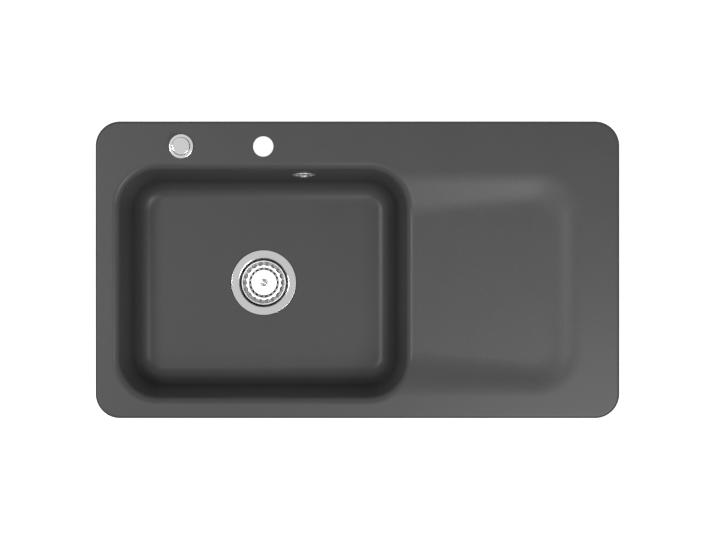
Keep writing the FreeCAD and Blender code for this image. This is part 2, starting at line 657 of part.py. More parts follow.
def make_sink_body():
    """Rim, tap deck, bowl and recessed drainboard in one moulding."""
    half_length = s.rim_length / 2
    half_width = s.rim_width / 2
    tool = make_drainer_tool()
    body = new_body("sink_body")

    rim = new_sketch(body, "XY_Plane", "rim_outline")
    rounded_rectangle(rim, -half_length, half_length, -half_width, half_width, s.rim_corner)
    pad(body, rim, s.rim_height)
    round_edges(body, "rim_edge", s.rim_edge_round,
                lambda edge: abs(edge.BoundBox.ZMin - s.rim_height.value) < 1e-6)

    deck = new_sketch(body, "XY_Plane", "deck_outline")
    rounded_rectangle(deck, s.rim_overlap - half_length, half_length - s.rim_overlap,
                      s.rim_overlap - half_width, half_width - s.rim_overlap, s.rim_corner - s.rim_overlap)
    pad(body, deck, s.deck_drop, reversed_way=True)

    shell = new_sketch(body, "XY_Plane", "drainer_shell")
    rounded_rectangle(shell, bowl_x, drainer_right + s.drainer_wall, drainer_front - s.drainer_wall,
                      drainer_rear + s.drainer_wall, s.drainer_corner + s.drainer_wall)
    pad(body, shell, s.drainer_depth + s.drainer_wall - s.rim_height, reversed_way=True,
        draft=-s.drainer_shell_draft)

    outside = s.bowl_wall / cosine(s.bowl_draft) - s.rim_height * tangent(s.bowl_draft)
    wall = new_sketch(body, "XY_Plane", "bowl_outside")
    rounded_rectangle(wall, bowl_left - outside, bowl_right + outside, bowl_front - outside,
                      bowl_rear + outside, s.bowl_corner + outside)
    pad(body, wall, -floor_foot, reversed_way=True, draft=-s.bowl_draft)
    round_edges(body, "bowl_outside_round", s.bowl_floor_round + s.bowl_wall / 2,
                lambda edge: edge.BoundBox.ZMax < floor_foot.value + 1e-4)

    recess = body.newObject("PartDesign::Boolean", "drainer_recess")
    recess.Type = "Cut"
    recess.setObjects([tool])
    body.Tip = recess
    inside_rim = half_length.value - 2 * s.rim_edge_round.value
    round_edges(body, "drainer_mouth_blend", s.drainer_round,
                lambda edge: abs(edge.BoundBox.ZMin - s.rim_height.value) < 1e-4
                and abs(edge.BoundBox.ZMax - s.rim_height.value) < 1e-4
                and edge.BoundBox.XMax < inside_rim and edge.BoundBox.XMin > -inside_rim)
    round_edges(body, "drainer_floor_blend", s.drainer_round,
                lambda edge: along_edge(edge, on_drainer_floor))

    mouth = new_sketch(body, "XY_Plane", "bowl_mouth", s.rim_height)
    rounded_rectangle(mouth, bowl_left, bowl_right, bowl_front, bowl_rear, s.bowl_corner)
    pocket(body, mouth, s.bowl_depth, draft=-s.bowl_draft)
    round_edges(body, "bowl_floor_rounding", s.bowl_floor_round,
                lambda edge: abs(edge.BoundBox.ZMax - floor_level.value) < 1e-4
                and abs(edge.BoundBox.ZMin - floor_level.value) < 1e-4)
    mouth_foot = s.rim_height.value - s.drainer_depth.value - s.bowl_rim_round.value / 2
    round_edges(body, "bowl_rim_rounding", s.bowl_rim_round,
                lambda edge: along_edge(edge, lambda spot: on_bowl_wall(spot) and spot.z > mouth_foot)
                and edge.BoundBox.ZLength < 0.5 * edge.Length)

    tap = new_sketch(body, "XY_Plane", "tap_opening", s.rim_height)
    circle(tap, s.tap_hole / 2, tap_x, tap_y)
    pocket(body, tap, 2 * deck_thickness)
    control = new_sketch(body, "XY_Plane", "control_opening", s.rim_height)
    circle(control, s.control_hole / 2, control_x, control_y)
    pocket(body, control, 2 * deck_thickness)

    seat = new_sketch(body, "XY_Plane", "waste_recess", floor_level)
    circle(seat, s.flange_diameter / 2 + s.recess_gap, waste_x, waste_y)
    pocket(body, seat, floor_level - recess_level)
    drain = new_sketch(body, "XY_Plane", "waste_opening", recess_level)
    circle(drain, s.waste_hole_diameter / 2, waste_x, waste_y)
    pocket(body, drain, s.bowl_floor)

    inlet = new_sketch(body, "XZ_Plane", "overflow_opening")
    lean = FreeCAD.Rotation(Vector(-1, 0, 0), s.bowl_draft.value)
    inlet.AttachmentOffset = FreeCAD.Placement(Vector(0, 0, 0), lean)
    bind(inlet, "AttachmentOffset.Base.x", overflow_x)
    bind(inlet, "AttachmentOffset.Base.y", overflow_z)
    bind(inlet, "AttachmentOffset.Base.z", -overflow_y)
    bind(inlet, "AttachmentOffset.Rotation.Angle", s.bowl_draft)
    circle(inlet, s.overflow_hole / 2)
    pocket(body, inlet, 2 * s.bowl_wall)
    return body


# ---------------------------------------------------------------- pop-up control
ring_foot = s.rim_height + s.deck_seal
ring_top = ring_foot + s.ring_height
ring_floor_top = ring_foot + s.ring_floor
stem_radius = s.stem_diameter / 2
stem_foot = ring_foot - s.stem_length
spindle_radius = s.spindle_diameter / 2
guide_foot = ring_foot - s.guide_length
guide_radius = spindle_radius + s.guide_wall
knob_foot = ring_floor_top + s.clearance
knob_top = knob_foot + s.knob_height
knob_hub = spindle_radius + s.knob_hub_wall
knob_roof = knob_top - s.knob_roof_plate
backnut_top = deck_foot - s.under_seal
housing_bore = stem_radius + s.running_gap
housing_radius = housing_bore + s.housing_wall
housing_top = stem_foot + s.housing_grip
carriage_room = s.cap_thickness + s.carriage_height + s.carriage_travel + s.housing_headroom
housing_foot = stem_foot - carriage_room
carriage_foot = housing_foot + s.cap_thickness
carriage_radius = housing_bore - s.clearance


def rectangle(sketch, left, right, low, high):
    outline(sketch, [(left, low), (right, low), (right, high), (left, high)])


def make_cable_gland(label, plane, **place):
    """A hexagon gland: its thread runs in and its nose runs out along the plane's normal."""
    body = new_body(label, **place)
    head = new_sketch(body, plane, label + "_head")
    hexagon(head, s.gland_flats)
    pad(body, head, s.gland_head)
    nose = new_sketch(body, plane, label + "_nose", s.gland_head)
    circle(nose, s.gland_diameter / 2 - s.gland_nose_step)
    pad(body, nose, s.gland_nose)
    thread = new_sketch(body, plane, label + "_thread")
    circle(thread, s.gland_diameter / 2)
    pad(body, thread, s.cap_thickness, reversed_way=True)
    bore = new_sketch(body, plane, label + "_bore", s.gland_head + s.gland_nose)
    circle(bore, s.gland_bore / 2)
    pocket(body, bore, s.gland_head + s.gland_nose + s.cap_thickness + s.through)
    return body


def make_control():
    """Fixed ring with its stem, turning knob, and the drive that pulls the cable."""
    ring_radius = s.ring_diameter / 2
    knob_radius = s.knob_diameter / 2
    stem_bore = stem_radius - s.stem_wall
    guide_bore = spindle_radius + s.running_gap
    well = knob_radius + s.knob_gap
    fixed = turned("control_ring", [
        (ring_radius, ring_foot), (ring_radius, ring_top), (well, ring_top), (well, ring_floor_top),
        (guide_bore, ring_floor_top), (guide_bore, guide_foot), (guide_radius, guide_foot),
        (guide_radius, ring_foot), (stem_bore, ring_foot), (stem_bore, stem_foot),
        (stem_radius, stem_foot), (stem_radius, ring_foot)], **ON_CONTROL)
    round_edges(fixed, "control_ring_rounding", s.ring_edge_round,
                lambda edge: is_ring(edge, ring_radius, ring_top))

    skirt = knob_radius - s.knob_wall
    knob = turned("control_knob", [
        (spindle_radius, knob_foot), (knob_hub, knob_foot), (knob_hub, knob_roof), (skirt, knob_roof),
        (skirt, knob_foot), (knob_radius, knob_foot), (knob_radius, knob_top), (0, knob_top),
        (0, knob_roof), (spindle_radius, knob_roof)], **ON_CONTROL)
    round_edges(knob, "control_knob_rounding", s.knob_edge_round,
                lambda edge: is_ring(edge, knob_radius, knob_top))
    flute = new_sketch(knob, "XY_Plane", "grip_flute", knob_foot)
    circle(flute, s.flute_radius, knob_radius)
    cut = pocket(knob, flute, s.flute_length, reversed_way=True)
    repeat(knob, cut, s.flute_count, "grip_flutes")

    turned("control_spindle", [(0, carriage_foot), (spindle_radius, carriage_foot),
                               (spindle_radius, knob_roof), (0, knob_roof)], **ON_CONTROL)
    clip_top = guide_foot - s.clearance
    ring("spindle_clip", spindle_radius, spindle_radius + s.clip_width, clip_top - s.clip_thickness, clip_top,
         **ON_CONTROL)
    ring("control_deck_seal", stem_radius, ring_radius - s.seal_inset, s.rim_height, ring_foot, **ON_CONTROL)
    ring("control_under_seal", stem_radius, stem_radius + s.seal_width, backnut_top, deck_foot, **ON_CONTROL)

    backnut = new_body("control_backnut", **ON_CONTROL)
    flats = new_sketch(backnut, "XY_Plane", "backnut_flats_outline", backnut_top)
    hexagon(flats, s.backnut_flats)
    pad(backnut, flats, s.backnut_height, reversed_way=True)
    bore = new_sketch(backnut, "XY_Plane", "backnut_bore", backnut_top)
    circle(bore, stem_radius + s.running_gap)
    pocket(backnut, bore, 2 * s.backnut_height)

    housing = ring("drive_housing", housing_bore, housing_radius, housing_foot, housing_top, **ON_CONTROL)
    keyway = new_sketch(housing, "XY_Plane", "housing_keyway", housing_foot)
    key_reach = carriage_radius + s.key_depth
    rectangle(keyway, carriage_radius, key_reach + s.clearance,
              -s.key_width / 2 - s.clearance, s.key_width / 2 + s.clearance)
    pocket(housing, keyway, stem_foot - housing_foot - s.clearance, reversed_way=True)

    spigot_top = housing_foot + s.cap_spigot
    cap = turned("housing_cap", [
        (0, housing_foot - s.cap_thickness), (housing_radius, housing_foot - s.cap_thickness),
        (housing_radius, housing_foot), (carriage_radius, housing_foot),
        (carriage_radius, spigot_top), (0, spigot_top)], **ON_CONTROL)
    outlet = new_sketch(cap, "XY_Plane", "cap_cable_hole", spigot_top)
    circle(outlet, s.gland_diameter / 2, -s.cable_offset)
    pocket(cap, outlet, s.cap_spigot + s.cap_thickness + s.through)

    carriage = ring("cable_carriage", spindle_radius + s.running_gap, carriage_radius,
                    carriage_foot, carriage_foot + s.carriage_height, **ON_CONTROL)
    key = new_sketch(carriage, "XY_Plane", "carriage_key", carriage_foot)
    rectangle(key, carriage_radius - s.key_depth, key_reach, -s.key_width / 2, s.key_width / 2)
    pad(carriage, key, s.carriage_height)
    eye = new_sketch(carriage, "XY_Plane", "carriage_cable_hole", carriage_foot)
    circle(eye, s.cable_hole / 2, -s.cable_offset)
    pocket(carriage, eye, s.carriage_height + s.through, reversed_way=True)

    make_cable_gland("control_cable_gland", "XY_Plane", x=control_x - s.cable_offset, y=control_y,
                     z=housing_foot - s.cap_thickness, axis=Vector(1, 0, 0), turn=size(180))


# ---------------------------------------------------------------- waste: cup, seals and body
def add_spokes(body, name, level, thickness, inner, outer, width, first_turn=None):
    """Three bars from a hub to the wall, hanging down from a level."""
    bar = new_sketch(body, "XY_Plane", name, level)
    if first_turn is not None:
        bar.AttachmentOffset = FreeCAD.Placement(Vector(0, 0, level.value),
                                                 FreeCAD.Rotation(Vector(0, 0, 1), first_turn.value))
        bind(bar, "AttachmentOffset.Rotation.Angle", first_turn)
    rectangle(bar, inner, outer, -width / 2, width / 2)
    repeat(body, pad(body, bar, thickness, reversed_way=True), 3, name + "_all")


def make_waste_flange():
    """Pressed steel flange and cup, with a hub on three spokes in the floor opening."""
    flange_radius = s.flange_diameter / 2
    cup_radius = s.cup_bore / 2
    opening = s.cup_opening / 2
    body = turned("waste_flange", [
        (flange_radius, flange_top), (cup_radius, flange_top), (cup_radius, cup_floor),
        (opening, cup_floor), (opening, cup_floor_foot), (cup_radius + s.flange_sheet, cup_floor_foot),
        (cup_radius + s.flange_sheet, flange_foot), (flange_radius, flange_foot)], **ON_WASTE)
    round_edges(body, "cup_mouth_rounding", s.cup_mouth_round,
                lambda edge: is_ring(edge, cup_radius, flange_top))
    round_edges(body, "flange_edge_rounding", s.flange_edge_round,
                lambda edge: is_ring(edge, flange_radius, flange_top))
    round_edges(body, "cup_floor_rounding", s.cup_floor_round,
                lambda edge: is_ring(edge, cup_radius, cup_floor))
    round_edges(body, "cup_outside_rounding", s.cup_floor_round + s.flange_sheet,
                lambda edge: is_ring(edge, cup_radius + s.flange_sheet, cup_floor_foot))
    hub = new_sketch(body, "XY_Plane", "cup_hub_outline", cup_floor)
    circle(hub, s.cup_hub / 2)
    add_spokes(body, "cup_spoke_bar", cup_floor, s.flange_sheet, s.cup_hub / 4,
               opening + s.through, s.cup_spoke)
    pad(body, hub, s.flange_sheet, reversed_way=True)
    bore = new_sketch(body, "XY_Plane", "cup_hub_bore", cup_floor)
    circle(bore, s.screw_diameter / 2 + s.running_gap)
    pocket(body, bore, 2 * s.flange_sheet)


def make_waste_body():
    """Plastic barrel and funnel with the overflow branch, screw hub, axle boss and cable bracket."""
    bore_radius = s.barrel_bore / 2
    flange_radius = s.flange_diameter / 2
    outlet_radius = s.outlet_diameter / 2
    body = turned("waste_body", [
        (bore_radius, body_top), (flange_radius, body_top), (flange_radius, body_top - s.body_flange),
        (barrel_radius, body_top - s.body_flange), (barrel_radius, barrel_foot), (outlet_radius, funnel_foot),
        (outlet_radius, outlet_foot), (s.outlet_bore / 2, outlet_foot), (s.outlet_bore / 2, funnel_foot),
        (bore_radius, barrel_foot)], seam_in_front=True, **ON_WASTE)

    branch = new_sketch(body, "YZ_Plane", "branch_outline", bore_radius)
    circle(branch, socket_radius, 0, branch_level)
    pad(body, branch, branch_end - bore_radius)
    duct = new_sketch(body, "YZ_Plane", "branch_bore", branch_end)
    circle(duct, pipe_bore, 0, branch_level)
    pocket(body, duct, branch_end - bore_radius + s.barrel_wall)
    socket = new_sketch(body, "YZ_Plane", "branch_socket", branch_end)
    circle(socket, socket_bore, 0, branch_level)
    pocket(body, socket, s.pipe_socket)

    add_spokes(body, "screw_spoke_bar", screw_hub_top - s.screw_spoke_drop, s.screw_spoke_height,
               s.screw_hub / 4, bore_radius + s.barrel_wall / 2, s.screw_spoke, s.spoke_turn)
    hub = new_sketch(body, "XY_Plane", "screw_hub_outline", screw_hub_top)
    circle(hub, s.screw_hub / 2)
    pad(body, hub, s.screw_hub_height, reversed_way=True)
    thread = new_sketch(body, "XY_Plane", "screw_hub_bore", screw_hub_top)
    circle(thread, s.screw_diameter / 2 + s.running_gap)
    pocket(body, thread, s.screw_hub_height + s.through)

    boss = new_sketch(body, "XZ_Plane", "axle_boss_outline", -s.axle_boss_inner)
    circle(boss, s.axle_boss, -s.lever_reach, axle_level)
    pad(body, boss, s.axle_boss_outer - s.axle_boss_inner, reversed_way=True)

    plate_inner = s.axle_boss_outer - 2 * s.bracket_plate
    half_bar = s.axle_boss - s.bracket_plate / 2
    tab_foot = axle_level - s.crank_reach - s.bracket_width / 2
    plate = new_sketch(body, "XZ_Plane", "bracket_bar", -plate_inner)
    outline(plate, [
        (-s.lever_reach, axle_level - half_bar), (s.bracket_reach - s.bracket_width, axle_level - half_bar),
        (s.bracket_reach - s.bracket_plate, tab_foot), (s.bracket_reach, tab_foot),
        (s.bracket_reach, axle_level + half_bar), (-s.lever_reach, axle_level + half_bar)])
    pad(body, plate, s.bracket_plate, reversed_way=True)
    tab = new_sketch(body, "YZ_Plane", "bracket_tab", s.bracket_reach)
    rectangle(tab, plate_inner, crank_middle + s.bracket_width / 2, tab_foot, axle_level + half_bar)
    pad(body, tab, s.bracket_plate, reversed_way=True)
    eye = new_sketch(body, "YZ_Plane", "bracket_hole", s.bracket_reach)
    circle(eye, s.gland_diameter / 2, crank_middle, axle_level - s.crank_reach)
    pocket(body, eye, s.bracket_plate + s.through)

    axle_hole = new_sketch(body, "XZ_Plane", "axle_bore", -s.axle_boss_outer)
    circle(axle_hole, s.axle_diameter / 2 + s.running_gap, -s.lever_reach, axle_level)
    pocket(body, axle_hole, s.axle_boss_outer - s.axle_boss_inner + s.through, reversed_way=True)
    seal_seat = new_sketch(body, "XZ_Plane", "axle_seal_seat", -s.axle_boss_outer)
    circle(seal_seat, s.axle_seal_radius, -s.lever_reach, axle_level)
    pocket(body, seal_seat, s.axle_seal, reversed_way=True)


def make_waste_seals_and_screw():
    seal_inner = s.waste_hole_diameter / 2 + s.seal_inset
    seal_outer = s.flange_diameter / 2 - s.seal_inset
    ring("waste_upper_seal", seal_inner, seal_outer, recess_level, flange_foot, **ON_WASTE)
    ring("waste_lower_seal", seal_inner, seal_outer, body_top, floor_foot, **ON_WASTE)
    screw_radius = s.screw_diameter / 2
    screw_foot = screw_hub_foot - s.screw_tail
    guide = s.pin_diameter / 2 + s.running_gap
    head_top = cup_floor + s.screw_head_height
    turned("fixing_screw", [
        (guide, head_top), (s.screw_head / 2, head_top), (s.screw_head / 2, cup_floor),
        (screw_radius, cup_floor), (screw_radius, screw_foot), (guide, screw_foot)], **ON_WASTE)


# ---------------------------------------------------------------- lift pin, lever and crank
crank_inner = s.axle_boss_outer + s.clearance
crank_middle = crank_inner + s.crank_plate / 2
crank_outer = crank_inner + s.crank_plate
half_swing = s.lever_swing / 2
ON_AXLE = dict(x=waste_x - s.lever_reach * cosine(branch_turn),
               y=waste_y - s.lever_reach * sine(branch_turn), z=axle_level, turn=branch_turn)


def add_arm(body, name, shift, width, across, up, reach, root_half, tip_half, way):
    """A tapered bar from the axle along the direction (across, up), as wide as the piece."""
    arm = new_sketch(body, "XZ_Plane", name, shift)
    outline(arm, [
        (-up * root_half, across * root_half), (up * root_half, -across * root_half),
        (across * reach + up * tip_half, up * reach - across * tip_half),
        (across * reach - up * tip_half, up * reach + across * tip_half)])
    return pad(body, arm, width, **way)


def add_disc(body, name, shift, width, radius, across, up, way):
    disc = new_sketch(body, "XZ_Plane", name, shift)
    circle(disc, radius, across, up)
    return pad(body, disc, width, **way)


def make_lever():
    """Axle through the waste body's boss, lever under the lift pin and crank outside."""
    axle_radius = s.axle_diameter / 2
    middle = dict(midplane=True)
    lever = new_body("lift_lever", **ON_AXLE)
    across = cosine(half_swing)
    up = -sine(half_swing)
    add_disc(lever, "lever_hub_disc", None, s.lever_width, s.lever_hub, 0, 0, middle)
    add_arm(lever, "lever_arm", None, s.lever_width, across, up, s.lever_reach,
            s.lever_half_height, s.lever_half_height, middle)
    add_disc(lever, "lever_tip_disc", None, s.lever_width, s.lever_tip,
             across * s.lever_reach, up * s.lever_reach, middle)
    bore = new_sketch(lever, "XZ_Plane", "lever_bore")
    circle(bore, axle_radius)
    pocket(lever, bore, 2 * s.lever_width, midplane=True)

    outwards = dict(reversed_way=True)
    crank = new_body("cable_crank", **ON_AXLE)
    across = -sine(half_swing)
    up = -cosine(half_swing)
    add_disc(crank, "crank_hub_disc", -crank_inner, s.crank_plate, s.crank_hub, 0, 0, outwards)
    add_arm(crank, "crank_arm", -crank_inner, s.crank_plate, across, up, s.crank_reach,
            s.crank_root_half, s.crank_end_half, outwards)
    add_disc(crank, "crank_tip_disc", -crank_inner, s.crank_plate, s.crank_tip,
             across * s.crank_reach, up * s.crank_reach, outwards)
    holes = new_sketch(crank, "XZ_Plane", "crank_holes", -crank_outer)
    circle(holes, axle_radius)
    circle(holes, s.cable_hole / 2, across * s.crank_reach, up * s.crank_reach)
    pocket(crank, holes, 2 * s.crank_plate, reversed_way=True)

    axle_end = crank_outer + s.crank_nut_height + s.axle_end
    turned("lever_axle", [(0, -s.axle_tail), (axle_radius, -s.axle_tail), (axle_radius, axle_end),
                          (0, axle_end)], along="Y", **ON_AXLE)
    nut = new_body("crank_nut", **ON_AXLE)
    flats = new_sketch(nut, "XZ_Plane", "crank_nut_outline", -crank_outer)
    hexagon(flats, s.crank_nut_flats)
    pad(nut, flats, s.crank_nut_height, reversed_way=True)
    thread = new_sketch(nut, "XZ_Plane", "crank_nut_bore", -crank_outer)
    circle(thread, axle_radius)
    pocket(nut, thread, 2 * s.crank_nut_height, midplane=True)
    ring("axle_seal", axle_radius + s.running_gap, s.axle_seal_radius,
         s.axle_boss_outer - s.axle_seal, s.axle_boss_outer, along="Y", **ON_AXLE)

    pin_radius = s.pin_diameter / 2
    turned("lift_pin", [(0, pin_foot), (pin_radius, pin_foot), (pin_radius, pin_top), (0, pin_top)],
           **ON_WASTE)
    gland_x = waste_x + s.bracket_reach * cosine(branch_turn) - crank_middle * sine(branch_turn)
    gland_y = waste_y + s.bracket_reach * sine(branch_turn) + crank_middle * cosine(branch_turn)
    make_cable_gland("lever_cable_gland", "YZ_Plane", x=gland_x, y=gland_y,
                     z=axle_level - s.crank_reach, turn=branch_turn)


# ---------------------------------------------------------------- strainer basket
def make_basket():
    """Stepped basket with two rows of holes, its webs in line, and its stud and plug seal."""
    rim_radius = s.basket_diameter / 2
    wall_top = rim_radius - s.basket_lip
    sheet = s.basket_sheet
    body = turned("strainer_basket", [
        (s.stud_shank / 2, basket_floor + s.boss_height), (s.boss_radius, basket_floor + s.boss_height),
        (s.boss_radius + s.boss_height, basket_floor), (s.basket_floor_radius, basket_floor),
        (s.basket_step_inner, basket_step), (s.basket_step_outer, basket_step), (wall_top, basket_rim),
        (rim_radius, basket_rim), (rim_radius, basket_rim - sheet),
        (wall_top + sheet / 2, basket_rim - sheet), (s.basket_step_outer + sheet, basket_step - sheet),
        (s.basket_step_inner + sheet, basket_step - sheet),
        (s.basket_floor_radius + sheet, basket_foot), (s.stud_shank / 2, basket_foot)], **ON_BASKET)
    upper = new_sketch(body, "XY_Plane", "upper_hole", basket_rim)
    slot(upper, s.upper_hole_radius, s.upper_hole_width, s.upper_hole_length)
    cut = pocket(body, upper, s.basket_upper_height + 3 * sheet)
    repeat(body, cut, s.hole_count, "upper_holes")
    doc.recompute()
    lower = new_sketch(body, "XY_Plane", "lower_hole", basket_step)
    slot(lower, s.lower_hole_radius, s.lower_hole_width, s.lower_hole_length)
    cut = pocket(body, lower, s.basket_lower_height + 3 * sheet)
    repeat(body, cut, s.hole_count, "lower_holes")

    cap_radius = s.stud_diameter / 2
    stud_top = basket_floor + s.stud_height
    socket = s.pin_diameter / 2 + s.clearance
    turned("basket_stud", [
        (socket, basket_foot), (s.stud_shank / 2, basket_foot),
        (s.stud_shank / 2, basket_floor + s.boss_height), (cap_radius, basket_floor + s.boss_height),
        (cap_radius, stud_top), (cap_radius - s.stud_rim, stud_top),
        (s.stud_dot + s.stud_slope_width, stud_top - s.stud_dish),
        (s.stud_dot, stud_top), (0, stud_top), (0, socket_top), (socket, socket_top)], **ON_BASKET)

    lip_level = cup_floor + s.clearance
    flat_radius = s.basket_floor_radius - s.plug_flat_inset
    lip_start = s.plug_outer / 2 - s.plug_lip_width
    turned("basket_plug_seal", [
        (s.plug_inner / 2, basket_foot), (flat_radius, basket_foot),
        (s.plug_outer / 2, lip_level + s.plug_lip), (s.plug_outer / 2, lip_level),
        (lip_start, lip_level), (flat_radius, basket_foot - s.plug_thickness),
        (s.plug_inner / 2, basket_foot - s.plug_thickness)], **ON_BASKET)


# ---------------------------------------------------------------- overflow
wall_outside = -s.bowl_wall
head_mouth = wall_outside - s.wall_seal
head_back = head_mouth - s.head_depth
screw_end = wall_outside - s.head_depth / 2


def make_overflow_inlet():
    """Rosette on the bowl wall, its screw, and the seal behind the wall."""
    radius = s.rosette_diameter / 2
    hole = s.cap_screw_shank / 2 + s.socket_gap
    flat = s.cap_screw_head / 2 + s.rosette_flat
    body = turned("overflow_rosette", [
        (hole, s.rosette_height - s.rosette_sheet), (flat, s.rosette_height - s.rosette_sheet),
        (radius - s.rosette_foot, 0), (radius, 0), (radius, s.rosette_sheet), (flat, s.rosette_height),
        (hole, s.rosette_height)], **IN_WALL)
    inlet = new_sketch(body, "XY_Plane", "rosette_slot", s.rosette_height)
    slot(inlet, s.rosette_slot_radius, s.rosette_slot_width, s.rosette_slot_length)
    cut = pocket(body, inlet, 2 * s.rosette_height)
    repeat(body, cut, s.rosette_slots, "rosette_inlets")

    head_radius = s.cap_screw_head / 2
    shank = s.cap_screw_shank / 2
    head_top = s.rosette_height + s.cap_screw_dome
    screw = turned("rosette_screw", [
        (0, screw_end), (shank, screw_end), (shank, s.rosette_height), (head_radius, s.rosette_height),
        (head_radius, head_top), (0, head_top)], **IN_WALL)
    round_edges(screw, "rosette_screw_dome", s.cap_screw_round,
                lambda edge: abs(edge.BoundBox.ZMin - head_top.value) < 1e-4)
    ring("overflow_seal", s.overflow_hole / 2, s.head_flange / 2 - s.seal_inset, head_mouth, wall_outside,
         **IN_WALL)


def make_overflow_head():
    """Round chamber behind the wall, leaning with it, over a spigot that hangs plumb."""
    flange_foot_level = head_mouth - s.head_flange_plate
    drum = s.head_diameter / 2
    chamber = drum - s.head_wall
    chamber_foot = head_back + s.head_wall
    body = turned("overflow_head", [
        (0, head_mouth), (s.head_flange / 2, head_mouth), (s.head_flange / 2, flange_foot_level),
        (drum, flange_foot_level), (drum, head_back), (0, head_back)], **IN_WALL)

    def plumb_sketch(name, down):
        sketch = new_sketch(body, "XZ_Plane", name)
        upright = FreeCAD.Rotation(Vector(1, 0, 0), s.bowl_draft.value)
        sketch.AttachmentOffset = FreeCAD.Placement(Vector(0, 0, 0), upright)
        bind(sketch, "AttachmentOffset.Base.y", -s.riser_setback - down * sine(s.bowl_draft))
        bind(sketch, "AttachmentOffset.Base.z", down * cosine(s.bowl_draft))
        bind(sketch, "AttachmentOffset.Rotation.Angle", s.bowl_draft)
        return sketch

    spigot_length = drum + s.spigot_length
    spigot = plumb_sketch("spigot_outline", size(0))
    circle(spigot, socket_radius)
    pad(body, spigot, spigot_length)
    hollow = new_sketch(body, "YZ_Plane", "head_chamber")
    boss = s.head_boss / 2
    thread = s.cap_screw_shank / 2 + s.running_gap
    boss_top = screw_end + s.head_boss_reach
    outline(hollow, [
        (0, head_mouth + s.through), (chamber, head_mouth + s.through), (chamber, chamber_foot),
        (boss, chamber_foot), (boss, boss_top), (thread, boss_top), (thread, screw_end - s.through),
        (0, screw_end - s.through)])
    groove = body.newObject("PartDesign::Groove", "head_hollow")
    groove.Profile = hollow
    groove.ReferenceAxis = (hollow, ["V_Axis"])
    groove.Angle = 360
    body.Tip = groove
    doc.recompute()
    duct = plumb_sketch("spigot_bore", s.pipe_wall + drum / 2)
    circle(duct, pipe_bore)
    pocket(body, duct, spigot_length, reversed_way=True)
    socket = plumb_sketch("spigot_socket", spigot_length)
    circle(socket, socket_bore)
    pocket(body, socket, s.pipe_socket)


def make_elbow():
    """Bend from the riser into the cross pipe, with a pipe socket at each end."""
    body = new_body("overflow_elbow", **ON_RISER)
    path = new_sketch(body, "XZ_Plane", "elbow_path")
    bend_top = branch_level + s.elbow_bend
    corner = Vector(-s.elbow_bend.value, bend_top.value, 0)
    arc = Part.ArcOfCircle(Part.Circle(corner, Vector(0, 0, 1), s.elbow_bend.value), -math.pi / 2, 0)
    path.addGeometry(Part.LineSegment(Vector(0, elbow_top.value, 0), Vector(0, bend_top.value, 0)))
    path.addGeometry(arc)
    path.addGeometry(Part.LineSegment(Vector(-s.elbow_bend.value, branch_level.value, 0),
                                      Vector(-elbow_side.value, branch_level.value, 0)))
    path.addConstraint(Sketcher.Constraint("Coincident", 0, 2, 1, 2))
    path.addConstraint(Sketcher.Constraint("Coincident", 1, 1, 2, 1))
    fix_point(path, 0, 1, 0, elbow_top)
    fix_point(path, 0, 2, 0, bend_top)
    fix_point(path, 2, 1, -s.elbow_bend, branch_level)
    fix_point(path, 2, 2, -elbow_side, branch_level)
    hold_radius(path, 1, s.elbow_bend)
    for kind, radius in (("Additive", socket_radius), ("Subtractive", pipe_bore)):
        section = new_sketch(body, "XY_Plane", f"elbow_section_{kind}", elbow_top)
        circle(section, radius)
        sweep = body.newObject(f"PartDesign::{kind}Pipe", f"elbow_sweep_{kind}")
        sweep.Profile = section
        sweep.Spine = path
        body.Tip = sweep
        doc.recompute()
    upper = new_sketch(body, "XY_Plane", "elbow_upper_socket", elbow_top)
    circle(upper, socket_bore)
    pocket(body, upper, s.pipe_socket)
    side = new_sketch(body, "YZ_Plane", "elbow_side_socket", -elbow_side)
    circle(side, socket_bore, 0, branch_level)
    pocket(body, side, s.pipe_socket, reversed_way=True)


def make_slip_joint(name, along, face, way, **place):
    """Slip nut and seal at a socket's face; way is 1 or -1 along the axis, out of the socket."""
    seal_end = face + way * s.slip_seal
    thread = socket_radius + s.running_gap
    outer = thread + s.nut_wall
    nut_start = face - way * s.nut_grip
    nut_end = seal_end + way * s.nut_lip
    body = turned(name + "_nut", [
        (thread, nut_start), (outer, nut_start), (outer, nut_end), (socket_bore, nut_end),
        (socket_bore, seal_end), (thread, seal_end)], along, **place)
    plane, axis = ("XY_Plane", "Z_Axis") if along == "Z" else ("YZ_Plane", "X_Axis")
    lug = new_sketch(body, plane, name + "_lug", nut_start)
    rectangle(lug, outer - s.nut_wall / 2, outer + s.nut_lug_height,
              -s.nut_lug_width / 2, s.nut_lug_width / 2)
    feature = pad(body, lug, s.nut_grip, reversed_way=way < 0)
    pattern = repeat(body, feature, s.nut_lugs, name + "_lugs")
    pattern.Axis = ([part for part in body.Origin.OriginFeatures if part.Role == axis][0], [""])
    ring(name + "_seal", socket_bore, socket_radius, face, seal_end, along, **place)


def make_overflow_pipes():
    """Riser, elbow and cross pipe down to the waste body's branch, with their slip joints."""
    ring("overflow_riser", pipe_bore, pipe_radius, elbow_top - s.pipe_socket,
         spigot_foot + s.pipe_socket, **ON_RISER)
    axes_apart = (riser_y - waste_y) / sine(branch_turn)
    ring("overflow_cross_pipe", pipe_bore, pipe_radius, branch_end - s.pipe_socket,
         axes_apart - elbow_side + s.pipe_socket, along="X", z=branch_level, **ON_WASTE)
    make_elbow()
    make_slip_joint("head_slip", "Z", spigot_foot, -1, **ON_RISER)
    make_slip_joint("elbow_upper_slip", "Z", elbow_top, 1, **ON_RISER)
    make_slip_joint("elbow_side_slip", "X", -elbow_side, -1, z=branch_level, **ON_RISER)
    make_slip_joint("branch_slip", "X", branch_end, 1, z=branch_level, **ON_WASTE)


